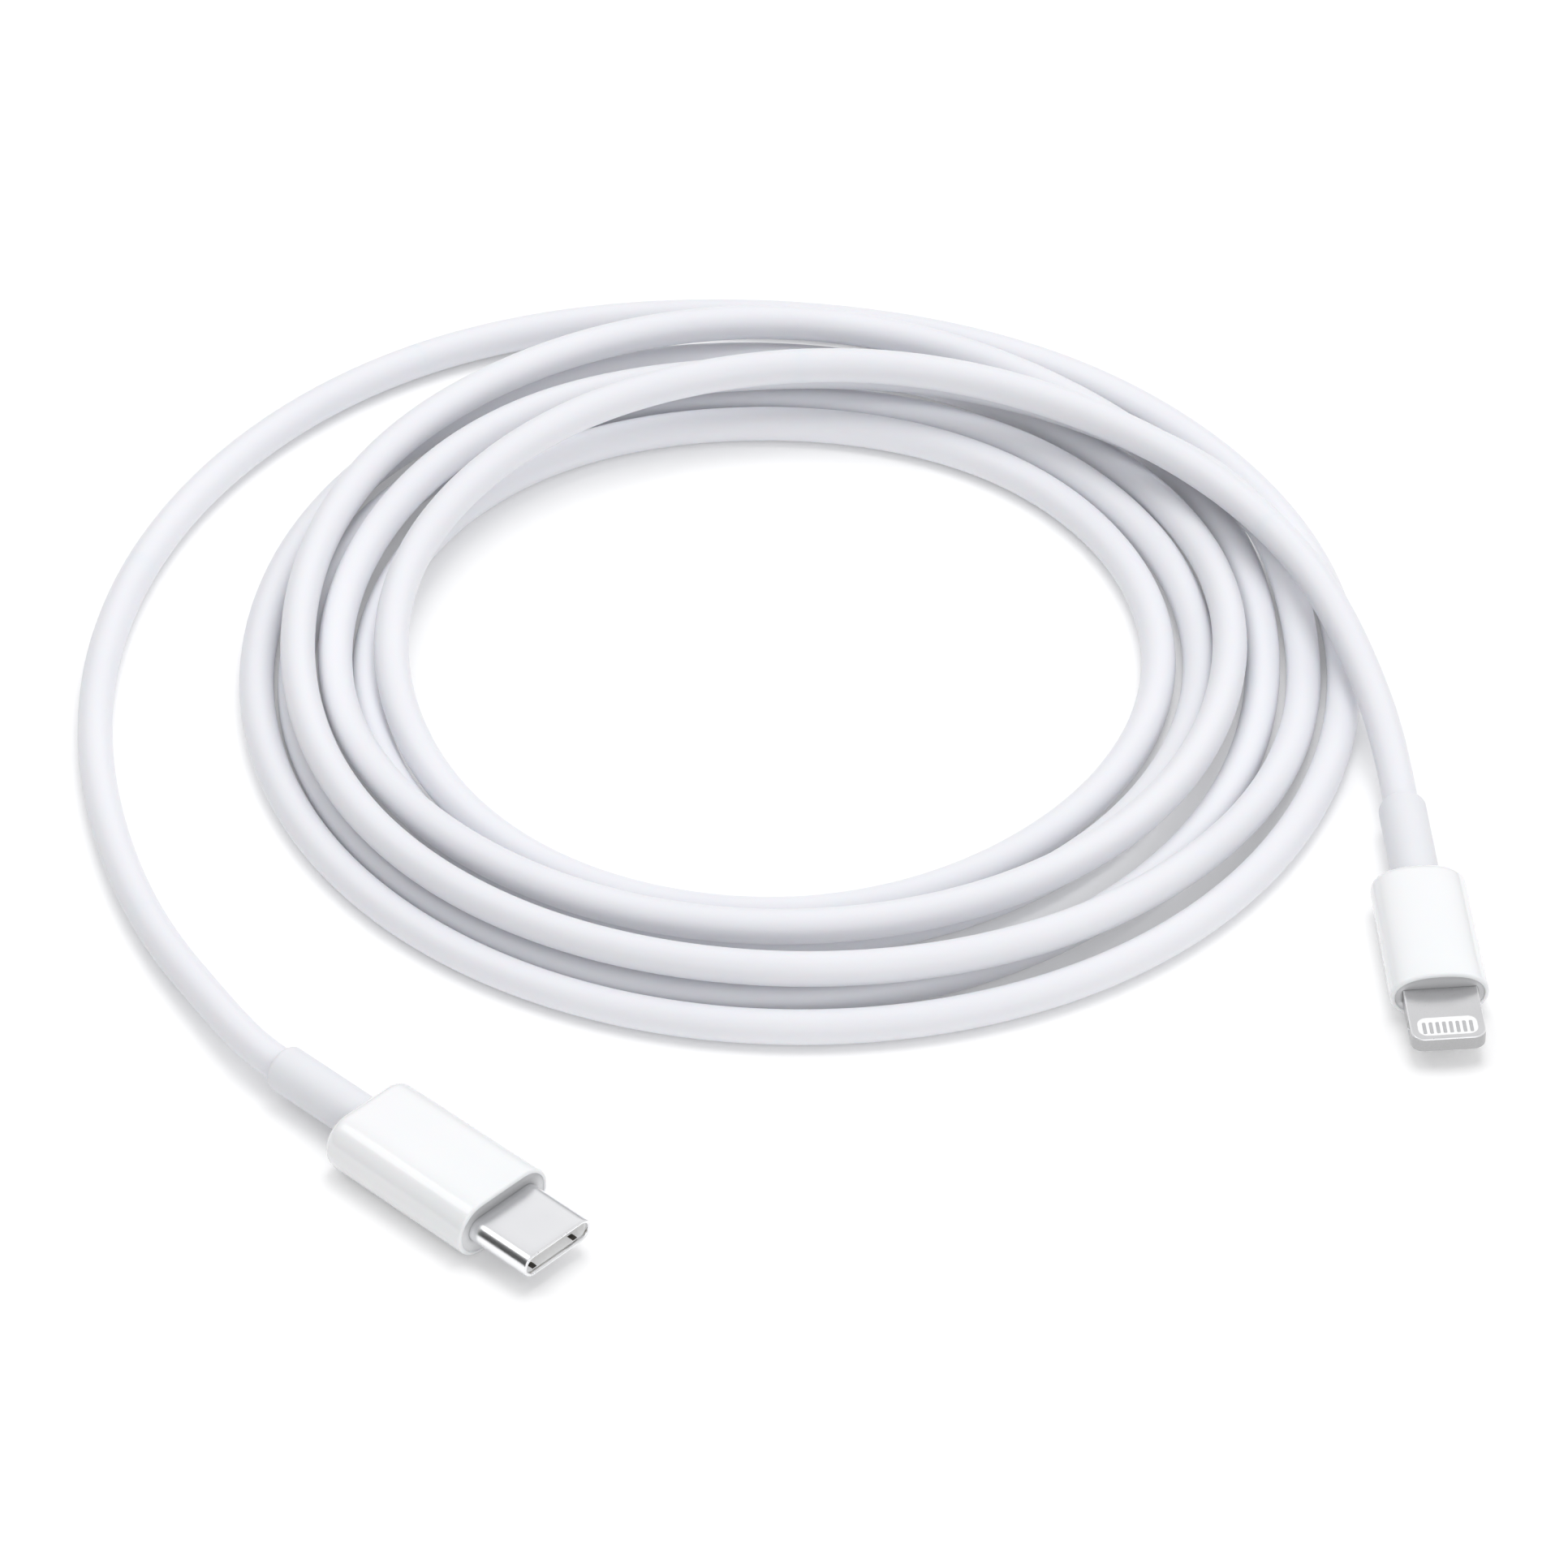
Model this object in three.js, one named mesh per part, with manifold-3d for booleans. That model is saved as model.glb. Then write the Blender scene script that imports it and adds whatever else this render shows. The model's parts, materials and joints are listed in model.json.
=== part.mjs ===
// A white charging cable, coiled flat: a USB-C plug on one end and a flat 8-pin plug on the other.
// Millimetres, +Z up, floor at z = 0. The cable is wound clockwise seen from above, from the USB-C
// plug to the 8-pin plug, and each piece that would come apart on a bench is one named mesh.
import * as THREE from "three";
import { mergeVertices } from "three/addons/utils/BufferGeometryUtils.js";
import Module from "manifold-3d";

const wasm = await Module();
wasm.setup();

// ---------------------------------------------------------------- driving dimensions

const CABLE = { radius: 1.6, bore: 1.15, core: 0.95, sides: 8, coreSides: 6 };

// The wound cable, station by station. A turn has eight stations, 45 degrees apart, and starts on
// the left (-X) and runs over the far side (+Y). Radius is from the winding centre to the cable's
// centre line. Level counts cable diameters above the floor layer. One turn climbs down so quickly
// that it has a station of its own between the others.
const STATION_ANGLE = 45;
const TURNS = [
  {
    radius: [61.8, 56.2, 50.2, 50.3, 52.4, 53.3, 51.6, 49.8],
    level: [0, 0, 0, 0, 0, 0, 0, 0],
  },
  {
    radius: [47.6, 46.3, 43.7, 42.3, 41.9, 42.6, 41.9, 41.6],
    level: [0, 0, 0, 0, 0.8, 1.05, 1.05, 1.05],
  },
  {
    radius: [40.4, 39.2, 37.4, 42.5, 48.7, 49.3, 47.8, 46.2],
    level: [0.6, 1.08, 1.08, 1.1, 0, 0.75, 1.12, 1.1],
    between: { angle: 157.5, radius: 47.5, level: 1 },
  },
  {
    radius: [43.8, 44.6, 45, 46.5, 45, 46.4, 47.7, 46.2],
    level: [1.1, 1.1, 1.1, 0.05, 0, 0, 0, 0],
  },
  {
    radius: [44, 41, 37.5, 38.4, 39.2, 39.5, 40, 39.9],
    level: [0, 0, 0, 0, 0, 0, 0, 0],
  },
  {
    radius: [37.3, 36, 34, 34.8, 35.4, 35.4, 36.4, 36.3],
    level: [0, 0, 0, 0, 0, 0, 0, 0.2],
  },
  {
    radius: [35.2, 33.9, 34.1, 39.3, 51.7],
    level: [1.05, 1.65, 2.1, 2.15, 1.5],
  },
];
// The free ends, past the first and last station of the turns. Slope is how fast the radius changes
// with the angle where the cable enters the plug.
const USB_C_TAIL = {
  angles: [-52.4, -46, -35, -20],
  radius: [72.6, 70.6, 67.8, 64.7],
  level: [0.39, 0.3, 0.1, 0],
  slope: -0.14,
};
const EIGHT_PIN_TAIL = {
  angles: [6 * 360 + 190, 6 * 360 + 200.8],
  radius: [55.7, 60.8],
  level: [0.95, 0.3],
  slope: 0.52,
};

// Where the cable bends at a joint, as angles along the winding, and the space left there.
const SWING_ANGLE = 37;
const LIFT_ANGLE = -12;
const TAIL_LIFT_ANGLE = 6 * 360 + 118;
const JOINT_GAP = 1.2;
const COIL_STEP = 15;
const TAIL_STEP = 7.5;

// A strain-relief sleeve, the same on both plugs. Lengths run forward from its rear lip.
const SLEEVE = { length: 10.1, radius: 2.18, neckLength: 1.4, neckRadius: 1.95, bore: 1.78, lip: 0.35 };
const CRIMP = { from: SLEEVE.length + 2.8, outer: 1.9, inner: 1.72 };
const CAN = { from: SLEEVE.length + 5.5, wall: 0.2 };
const END_JACKET = { from: 0.1, to: SLEEVE.length + 4.1 };
const MOULD = { length: 1.6, gap: 0.15 };
const CHIP = { length: 1.8, width: 2.2, height: 0.55, gap: 0.05 };
// A wire starts inside the end jacket at `spread` from the axis, opens out between `bendBefore` the
// jacket's end and `bendAfter` short of the board, and is laid on the board's pads for `landing`.
const WIRE = {
  radius: 0.34,
  from: 0.4,
  spread: 0.46,
  entrySpread: 1.1,
  padSpread: 1.3,
  landing: 1,
  gap: 0.05,
  bendBefore: 0.6,
  bendAfter: 0.3,
  sides: 6,
  steps: 8,
};
const CLEARANCE = 0.1;
const THROUGH = 1; // how far a cutting body reaches past the face it opens

const USB_C = {
  bootLength: 17.4,
  bootWidth: 11,
  bootHeight: 5.7,
  rearRounding: 1.5,
  rearWall: 2.4,
  draft: 0.975,
  recess: 0.3,
  wall: 0.6,
  canWidth: 9,
  canHeight: 3.6,
  shellWidth: 8.25,
  shellHeight: 2.4,
  shellWall: 0.25,
  shellExposed: 6.7,
  shellLength: 12,
};
const EIGHT_PIN = {
  bootLength: 15.7,
  bootWidth: 8.9,
  bootHeight: 5.1,
  rearRounding: 1.4,
  rearWall: 2.4,
  draft: 0.975,
  recess: 0.3,
  wall: 0.6,
  canWidth: 7,
  canHeight: 3.2,
  tabWidth: 6.7,
  tabHeight: 1.5,
  tabExposed: 6.6,
  contactPitch: 0.6,
  contacts: 8,
};

// ---------------------------------------------------------------- materials

const plastic = (color, roughness) => new THREE.MeshStandardMaterial({ color, roughness, metalness: 0 });
const metal = (color, roughness) => new THREE.MeshStandardMaterial({ color, roughness, metalness: 1 });

const MATERIAL = {
  jacket: plastic(0xeeeff4, 0.5),
  sleeve: plastic(0xe9e9ee, 0.6),
  boot: plastic(0xf8f8f8, 0.25),
  insulator: plastic(0xf2f2f0, 0.4),
  board: plastic(0x2f6b45, 0.5),
  chip: plastic(0x1c1c1e, 0.4),
  steel: metal(0xc8c8ca, 0.3),
  can: metal(0xb4b4b6, 0.4),
  contact: metal(0xd9cfae, 0.3),
  braid: metal(0xb87c54, 0.5),
  wireRed: plastic(0xc03028, 0.5),
  wireBlack: plastic(0x202022, 0.5),
  wireGreen: plastic(0x2c8a4a, 0.5),
  wireWhite: plastic(0xf0f0ee, 0.5),
};

// ---------------------------------------------------------------- solids

function toSolid(geometry) {
  const bare = new THREE.BufferGeometry();
  const source = geometry.index ? geometry.toNonIndexed() : geometry;
  bare.setAttribute("position", source.getAttribute("position"));
  const merged = mergeVertices(bare, 1e-4);
  const mesh = new wasm.Mesh({
    numProp: 3,
    vertProperties: merged.attributes.position.array,
    triVerts: new Uint32Array(merged.index.array),
  });
  return new wasm.Manifold(mesh);
}

function toGeometry(solid) {
  const { vertProperties, triVerts } = solid.getMesh();
  const geometry = new THREE.BufferGeometry();
  geometry.setAttribute("position", new THREE.BufferAttribute(vertProperties, 3));
  geometry.setIndex(new THREE.BufferAttribute(triVerts, 1));
  geometry.computeVertexNormals();
  return geometry;
}

function cut(geometry, ...tools) {
  const start = toSolid(geometry);
  return toGeometry(tools.reduce((solid, tool) => solid.subtract(toSolid(tool)), start));
}

function join(geometry, ...others) {
  const start = toSolid(geometry);
  return toGeometry(others.reduce((solid, other) => solid.add(toSolid(other)), start));
}

function named(name, geometry, material) {
  const mesh = new THREE.Mesh(geometry, material);
  mesh.name = name;
  return mesh;
}

// ---------------------------------------------------------------- outlines and simple forms

function obround(width, height) {
  const radius = height / 2;
  const reach = width / 2 - radius;
  const shape = new THREE.Shape();
  shape.absarc(reach, 0, radius, -Math.PI / 2, Math.PI / 2);
  shape.absarc(-reach, 0, radius, Math.PI / 2, Math.PI * 1.5);
  return shape;
}

function rectangle(width, height) {
  return new THREE.Shape([
    new THREE.Vector2(-width / 2, -height / 2),
    new THREE.Vector2(width / 2, -height / 2),
    new THREE.Vector2(width / 2, height / 2),
    new THREE.Vector2(-width / 2, height / 2),
  ]);
}

function roundedRectangle(length, width, radius) {
  const x = length / 2 - radius;
  const y = width / 2 - radius;
  const shape = new THREE.Shape();
  shape.absarc(x, y, radius, 0, Math.PI / 2);
  shape.absarc(-x, y, radius, Math.PI / 2, Math.PI);
  shape.absarc(-x, -y, radius, Math.PI, Math.PI * 1.5);
  shape.absarc(x, -y, radius, Math.PI * 1.5, Math.PI * 2);
  return shape;
}

// A regular polygon with a flat side facing along each axis when it has 8 sides.
function polygon(radius, sides) {
  const points = [];
  for (let i = 0; i < sides; i += 1) {
    const angle = ((i + 0.5) / sides) * Math.PI * 2;
    points.push(new THREE.Vector2(radius * Math.cos(angle), radius * Math.sin(angle)));
  }
  return points;
}

// The outline's own x runs to the plug's left (+Y), its y runs up, and the prism runs forward (+X).
const FORWARD = new THREE.Matrix4().makeBasis(
  new THREE.Vector3(0, 1, 0),
  new THREE.Vector3(0, 0, 1),
  new THREE.Vector3(1, 0, 0),
);

function prism(shape, from, to, rounding = 0, curveSegments = 4) {
  const geometry = new THREE.ExtrudeGeometry(shape, {
    depth: to - from - 2 * rounding,
    curveSegments,
    steps: 1,
    bevelEnabled: rounding > 0,
    bevelThickness: rounding,
    bevelSize: rounding,
    bevelOffset: -rounding,
    bevelSegments: 3,
  });
  geometry.translate(0, 0, from + rounding);
  return geometry.applyMatrix4(FORWARD);
}

// A flat plate: its outline is seen from above, and it lies between two heights.
function plate(shape, low, high, curveSegments = 3) {
  const geometry = new THREE.ExtrudeGeometry(shape, {
    depth: high - low,
    curveSegments,
    steps: 1,
    bevelEnabled: false,
  });
  return geometry.translate(0, 0, low);
}

// A strip cut from sheet: its outline is seen from the plug's side, and it is as wide as the sheet.
function strip(points, width) {
  const shape = new THREE.Shape(points.map(([x, z]) => new THREE.Vector2(x, z)));
  const geometry = new THREE.ExtrudeGeometry(shape, { depth: width, steps: 1, bevelEnabled: false });
  return geometry.translate(0, 0, -width / 2).rotateX(Math.PI / 2);
}

// A ring turned about the plug's axis, from its profile of [forward, radius] points.
function turned(profile, segments = 20) {
  const points = profile.map(([x, radius]) => new THREE.Vector2(radius, x)).reverse();
  points.push(points[0].clone());
  return new THREE.LatheGeometry(points, segments).rotateZ(-Math.PI / 2);
}

function rod(radius, from, to, segments = 20) {
  const geometry = new THREE.CylinderGeometry(radius, radius, to - from, segments);
  return geometry.rotateZ(-Math.PI / 2).translate((from + to) / 2, 0, 0);
}

// Narrows a geometry's width towards its rear end: the slight draft of a moulded body. Its height
// stays, so its underside rests flat.
function drafted(geometry, rear, front, share) {
  const position = geometry.getAttribute("position");
  for (let i = 0; i < position.count; i += 1) {
    const along = (position.getX(i) - rear) / (front - rear);
    const scale = share + (1 - share) * along;
    position.setY(i, position.getY(i) * scale);
  }
  return geometry;
}

// ---------------------------------------------------------------- the cable's run

const stations = [];

function addStations(angles, radius, level) {
  angles.forEach((angle, i) => stations.push({ angle, radius: radius[i], level: level[i] }));
}

addStations(USB_C_TAIL.angles, USB_C_TAIL.radius, USB_C_TAIL.level);
TURNS.forEach((turn, count) => {
  const angles = turn.radius.map((_, i) => count * 360 + i * STATION_ANGLE);
  addStations(angles, turn.radius, turn.level);
  if (turn.between) stations.push({ ...turn.between, angle: count * 360 + turn.between.angle });
});
addStations(EIGHT_PIN_TAIL.angles, EIGHT_PIN_TAIL.radius, EIGHT_PIN_TAIL.level);
stations.sort((a, b) => a.angle - b.angle);
const lastStation = stations.length - 1;

// Slope of one station quantity, from its neighbours; level with the floor at both free ends.
function slopeAt(index, key) {
  if (index === 0) return key === "level" ? 0 : USB_C_TAIL.slope;
  if (index === lastStation) return key === "level" ? 0 : EIGHT_PIN_TAIL.slope;
  const before = stations[index - 1];
  const after = stations[index + 1];
  return (after[key] - before[key]) / (after.angle - before.angle);
}

// Smooth value of a station quantity at any angle along the winding.
function between(angle, key) {
  let i = 0;
  while (i < lastStation - 1 && stations[i + 1].angle <= angle) i += 1;
  const a = stations[i];
  const b = stations[i + 1];
  const span = b.angle - a.angle;
  const t = (angle - a.angle) / span;
  const ease = t * t * (3 - 2 * t);
  const startPull = t * (1 - t) * (1 - t) * slopeAt(i, key) * span;
  const endPull = t * t * (t - 1) * slopeAt(i + 1, key) * span;
  return a[key] + (b[key] - a[key]) * ease + startPull + endPull;
}

function cablePoint(angle) {
  const bearing = Math.PI - THREE.MathUtils.degToRad(angle);
  const radius = between(angle, "radius");
  const height = CABLE.radius * (1 + 2 * Math.max(between(angle, "level"), 0));
  return new THREE.Vector3(radius * Math.cos(bearing), radius * Math.sin(bearing), height);
}

// Direction of travel along the cable, from the USB-C end to the 8-pin end.
function cableHeading(angle) {
  return cablePoint(angle + 0.5).sub(cablePoint(angle - 0.5)).normalize();
}

// A stretch of the cable, stepped evenly by angle so that neighbouring turns keep their spacing.
class CableStretch extends THREE.Curve {
  constructor(from, to) {
    super();
    this.from = from;
    this.to = to;
  }

  getPoint(t) {
    return cablePoint(THREE.MathUtils.lerp(this.from, this.to, t));
  }

  getPointAt(t) {
    return this.getPoint(t);
  }

  getTangentAt(t) {
    return cableHeading(THREE.MathUtils.lerp(this.from, this.to, t));
  }
}

function sweep(shape, path, steps) {
  return new THREE.ExtrudeGeometry(shape, { extrudePath: path, steps, bevelEnabled: false });
}

function jacketShape() {
  const shape = new THREE.Shape(polygon(CABLE.radius, CABLE.sides));
  shape.holes.push(new THREE.Path(polygon(CABLE.bore, CABLE.coreSides)));
  return shape;
}

function addCable(group, name, from, to, step) {
  const steps = Math.round((to - from) / step);
  const path = new CableStretch(from, to);
  const coreShape = new THREE.Shape(polygon(CABLE.core, CABLE.coreSides));
  group.add(named(`${name}_jacket`, sweep(jacketShape(), path, steps), MATERIAL.jacket));
  group.add(named(`${name}_core`, sweep(coreShape, path, steps), MATERIAL.braid));
}

// Half a joint's gap, as an angle along the winding.
function halfGap(angle) {
  return THREE.MathUtils.radToDeg(JOINT_GAP / 2 / between(angle, "radius"));
}

// ---------------------------------------------------------------- pieces that both plugs have

function sleeve() {
  const { length, radius, neckLength, neckRadius, bore, lip } = SLEEVE;
  return turned([
    [0, bore],
    [length + neckLength, bore],
    [length + neckLength, neckRadius],
    [length, neckRadius],
    [length, radius],
    [lip, radius],
    [0, radius - lip],
  ]);
}

function endJacket() {
  return turned(
    [
      [END_JACKET.from, CABLE.bore],
      [END_JACKET.to, CABLE.bore],
      [END_JACKET.to, CABLE.radius],
      [END_JACKET.from, CABLE.radius],
    ],
    16,
  );
}

function boot(plug) {
  const { bootLength, bootWidth, bootHeight, rearRounding, rearWall, wall, draft } = plug;
  const rear = SLEEVE.length;
  const front = rear + bootLength;
  const outline = obround(bootWidth, bootHeight);
  const body = drafted(prism(outline, rear, front + 2 * rearRounding, rearRounding, 5), rear, front, draft);
  const beyond = prism(rectangle(2 * bootWidth, 2 * bootHeight), front, front + 3 * rearRounding);
  const inside = obround(bootWidth - 2 * wall, bootHeight - 2 * wall);
  const hollow = prism(inside, rear + rearWall, front + THROUGH);
  const cableHole = rod(SLEEVE.neckRadius + CLEARANCE, rear - THROUGH, rear + rearWall + THROUGH);
  return cut(body, beyond, hollow, cableHole);
}

// The plastic core that fills the boot's mouth and holds the metal in its opening.
function innerMould(plug, opening) {
  const front = SLEEVE.length + plug.bootLength - plug.recess;
  const rear = front - MOULD.length;
  const narrow = 2 * (plug.wall + MOULD.gap);
  const body = prism(obround(plug.bootWidth - narrow, plug.bootHeight - narrow), rear, front);
  return cut(body, prism(opening, rear - THROUGH, front + THROUGH));
}

// A folded steel can around the board, with a crimped tail round the cable.
function shieldCan({ canWidth, canHeight }, to) {
  const { from, wall } = CAN;
  const body = prism(obround(canWidth, canHeight), from, to);
  const tail = rod(CRIMP.outer, CRIMP.from, from + wall / 2, 16);
  const inside = prism(obround(canWidth - 2 * wall, canHeight - 2 * wall), from + wall, to + THROUGH);
  const cableHole = rod(CRIMP.inner, CRIMP.from - THROUGH, from + THROUGH, 16);
  return cut(join(body, tail), inside, cableHole);
}

function board(width, from, to, thickness) {
  return prism(rectangle(width, thickness), from, to);
}

function chip(at, onTopOf) {
  const { length, width, height, gap } = CHIP;
  const body = prism(rectangle(width, height), at - length / 2, at + length / 2);
  return body.translate(0, 0, onTopOf + gap + height / 2);
}

// A wire out of the end jacket, spread sideways and laid on the board's pad.
function wire(side, up, boardFrom, boardHalf) {
  const { radius, from, spread, entrySpread, padSpread, landing, gap } = WIRE;
  const { bendBefore, bendAfter, sides, steps } = WIRE;
  const padHeight = up * (boardHalf + radius + gap);
  const path = new THREE.CatmullRomCurve3([
    new THREE.Vector3(from, side * spread, up * spread),
    new THREE.Vector3(END_JACKET.to - bendBefore, side * spread, up * spread),
    new THREE.Vector3(boardFrom - bendAfter, side * entrySpread, padHeight),
    new THREE.Vector3(boardFrom + landing, side * padSpread, padHeight),
  ]);
  return sweep(new THREE.Shape(polygon(radius, sides)), path, steps);
}

function addWires(group, prefix, boardFrom, boardHalf) {
  const leads = [
    ["power", 1, 1, MATERIAL.wireRed],
    ["ground", -1, 1, MATERIAL.wireBlack],
    ["data_plus", 1, -1, MATERIAL.wireGreen],
    ["data_minus", -1, -1, MATERIAL.wireWhite],
  ];
  leads.forEach(([name, side, up, material]) => {
    group.add(named(`${prefix}_${name}_wire`, wire(side, up, boardFrom, boardHalf), material));
  });
}

// ---------------------------------------------------------------- USB-C plug

const USB_C_FRONT = SLEEVE.length + USB_C.bootLength;
const USB_C_TIP = USB_C_FRONT + USB_C.shellExposed;
const USB_C_BOARD = { width: 5, from: CAN.from + 1.4, to: USB_C_FRONT - 3.9, half: 0.3, chipAt: 3.5 };
const USB_C_CAN_TO = USB_C_FRONT - 2.7;
const CARRIER = {
  width: 7.6,
  height: 1.8,
  openWidth: 7.2,
  openHeight: 1.36,
  from: USB_C_FRONT - 2.5,
  to: USB_C_TIP - 0.5,
};
const LATCH = {
  from: USB_C_FRONT - 3.2,
  tip: USB_C_TIP - 1.4,
  y: 3.05,
  hook: 0.45,
  rampFrom: 1.6,
  hookAt: 0.8,
  thickness: 0.28,
  half: 0.26,
};
const BEAM = {
  from: USB_C_FRONT - 4.5,
  tip: USB_C_TIP - 1.7,
  z: 0.33,
  bow: 0.1,
  bowFrom: 1.8,
  bowAt: 1,
  thickness: 0.13,
  width: 0.3,
};
const BEAM_PLACES = [-2.25, -0.75, 0.75, 2.25];

function usbShell() {
  const { shellWidth, shellHeight, shellWall, shellLength } = USB_C;
  const rear = USB_C_TIP - shellLength;
  const outer = prism(obround(shellWidth, shellHeight), rear, USB_C_TIP, 0, 5);
  const opening = obround(shellWidth - 2 * shellWall, shellHeight - 2 * shellWall);
  return cut(outer, prism(opening, rear - THROUGH, USB_C_TIP + THROUGH));
}

// The tube of plastic that lines the shell and keeps the contacts apart.
function usbCarrier() {
  const { width, height, openWidth, openHeight, from, to } = CARRIER;
  const body = prism(obround(width, height), from, to);
  return cut(body, prism(obround(openWidth, openHeight), from - THROUGH, to + THROUGH));
}

// A side latch: a springy arm whose hooked tip grips the socket's tongue.
function usbLatch(side) {
  const { from, tip, y, hook, rampFrom, hookAt, thickness, half } = LATCH;
  const arm = [
    [from, y],
    [tip - rampFrom, y],
    [tip - hookAt, y - hook],
    [tip, y],
    [tip, y + thickness],
    [from, y + thickness],
  ];
  const shape = new THREE.Shape(arm.map(([x, away]) => new THREE.Vector2(x, side * away)));
  return plate(shape, -half, half);
}

// A contact beam: it lies on the board, runs forward inside the carrier and is bowed at its tip.
function usbContact(place, up) {
  const { from, tip, z, bow, bowFrom, bowAt, thickness, width } = BEAM;
  const high = z + thickness;
  const outline = [
    [from, z],
    [tip - bowFrom, z],
    [tip - bowAt, z - bow],
    [tip, z],
    [tip, high],
    [tip - bowAt, high - bow],
    [tip - bowFrom, high],
    [from, high],
  ];
  return strip(outline.map(([x, height]) => [x, up * height]), width).translate(0, place, 0);
}

function usbPlug() {
  const plug = new THREE.Group();
  const opening = obround(USB_C.shellWidth + 2 * CLEARANCE, USB_C.shellHeight + 2 * CLEARANCE);
  const { width, from, to, half, chipAt } = USB_C_BOARD;
  plug.add(named("usb_c_sleeve", sleeve(), MATERIAL.sleeve));
  plug.add(named("usb_c_end_jacket", endJacket(), MATERIAL.jacket));
  plug.add(named("usb_c_boot", boot(USB_C), MATERIAL.boot));
  plug.add(named("usb_c_inner_mould", innerMould(USB_C, opening), MATERIAL.insulator));
  plug.add(named("usb_c_shield_can", shieldCan(USB_C, USB_C_CAN_TO), MATERIAL.can));
  plug.add(named("usb_c_board", board(width, from, to, 2 * half), MATERIAL.board));
  plug.add(named("usb_c_controller_chip", chip(from + chipAt, half), MATERIAL.chip));
  addWires(plug, "usb_c", from, half);
  plug.add(named("usb_c_shell", usbShell(), MATERIAL.steel));
  plug.add(named("usb_c_contact_carrier", usbCarrier(), MATERIAL.insulator));
  plug.add(named("usb_c_latch_left", usbLatch(1), MATERIAL.steel));
  plug.add(named("usb_c_latch_right", usbLatch(-1), MATERIAL.steel));
  BEAM_PLACES.forEach((place, i) => {
    plug.add(named(`usb_c_contact_upper_${i + 1}`, usbContact(place, 1), MATERIAL.contact));
    plug.add(named(`usb_c_contact_lower_${i + 1}`, usbContact(place, -1), MATERIAL.contact));
  });
  return plug;
}

// ---------------------------------------------------------------- 8-pin plug

const EIGHT_PIN_FRONT = SLEEVE.length + EIGHT_PIN.bootLength;
const EIGHT_PIN_TIP = EIGHT_PIN_FRONT + EIGHT_PIN.tabExposed;
const EIGHT_PIN_BOARD = {
  width: 4.6,
  from: CAN.from + 1.2,
  to: EIGHT_PIN_FRONT - 4.3,
  half: 0.3,
  chipAt: 2.7,
};
const EIGHT_PIN_CAN_TO = EIGHT_PIN_FRONT - 2.5;
const TAB = { rear: EIGHT_PIN_FRONT - 3.8, neckWidth: 5.6, neckTo: EIGHT_PIN_FRONT - 1.8, cornerRadius: 1.1 };
const NOTCH = { back: 2.5, radius: 0.75, depth: 0.3, height: 0.9, sides: 16 };
const WINDOW = { middle: EIGHT_PIN_TIP - 1.7, length: 2.6, width: 5.6, radius: 0.9 };
const PAD = { middle: EIGHT_PIN_TIP - 1.5, length: 1.5, width: 0.36, radius: 0.1, low: 0.62, high: 0.74 };
const INSULATOR = { gap: 0.06, half: 0.6 };

// The flat steel tab: a plate with rounded front corners, a window, and a notch in the middle of each
// side's edge, short of both faces.
function tabFrame() {
  const half = EIGHT_PIN.tabWidth / 2;
  const { rear, neckWidth, neckTo, cornerRadius } = TAB;
  const outline = new THREE.Shape();
  outline.moveTo(rear, -neckWidth / 2);
  outline.lineTo(neckTo, -neckWidth / 2);
  outline.lineTo(neckTo, -half);
  outline.absarc(EIGHT_PIN_TIP - cornerRadius, cornerRadius - half, cornerRadius, -Math.PI / 2, 0);
  outline.absarc(EIGHT_PIN_TIP - cornerRadius, half - cornerRadius, cornerRadius, 0, Math.PI / 2);
  outline.lineTo(neckTo, half);
  outline.lineTo(neckTo, neckWidth / 2);
  outline.lineTo(rear, neckWidth / 2);
  const body = plate(outline, -EIGHT_PIN.tabHeight / 2, EIGHT_PIN.tabHeight / 2, 4);
  const window = plate(roundedRectangle(WINDOW.length, WINDOW.width, WINDOW.radius), -THROUGH, THROUGH);
  window.translate(WINDOW.middle, 0, 0);
  const notches = [-1, 1].map((side) => {
    const notch = new THREE.CylinderGeometry(NOTCH.radius, NOTCH.radius, NOTCH.height, NOTCH.sides);
    const y = side * (half + NOTCH.radius - NOTCH.depth);
    return notch.rotateX(Math.PI / 2).translate(EIGHT_PIN_TIP - NOTCH.back, y, 0);
  });
  return cut(body, window, ...notches);
}

// The plastic that fills the window; the contact pads lie on both of its faces.
function tabInsulator() {
  const { gap, half } = INSULATOR;
  const { middle, length, width, radius } = WINDOW;
  const outline = roundedRectangle(length - 2 * gap, width - 2 * gap, radius - gap);
  return plate(outline, -half, half).translate(middle, 0, 0);
}

function contactPad(place, up) {
  const { middle, length, width, radius, low, high } = PAD;
  const outline = roundedRectangle(length, width, radius);
  const pad = plate(outline, up > 0 ? low : -high, up > 0 ? high : -low, 1);
  return pad.translate(middle, (place - (EIGHT_PIN.contacts - 1) / 2) * EIGHT_PIN.contactPitch, 0);
}

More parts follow.
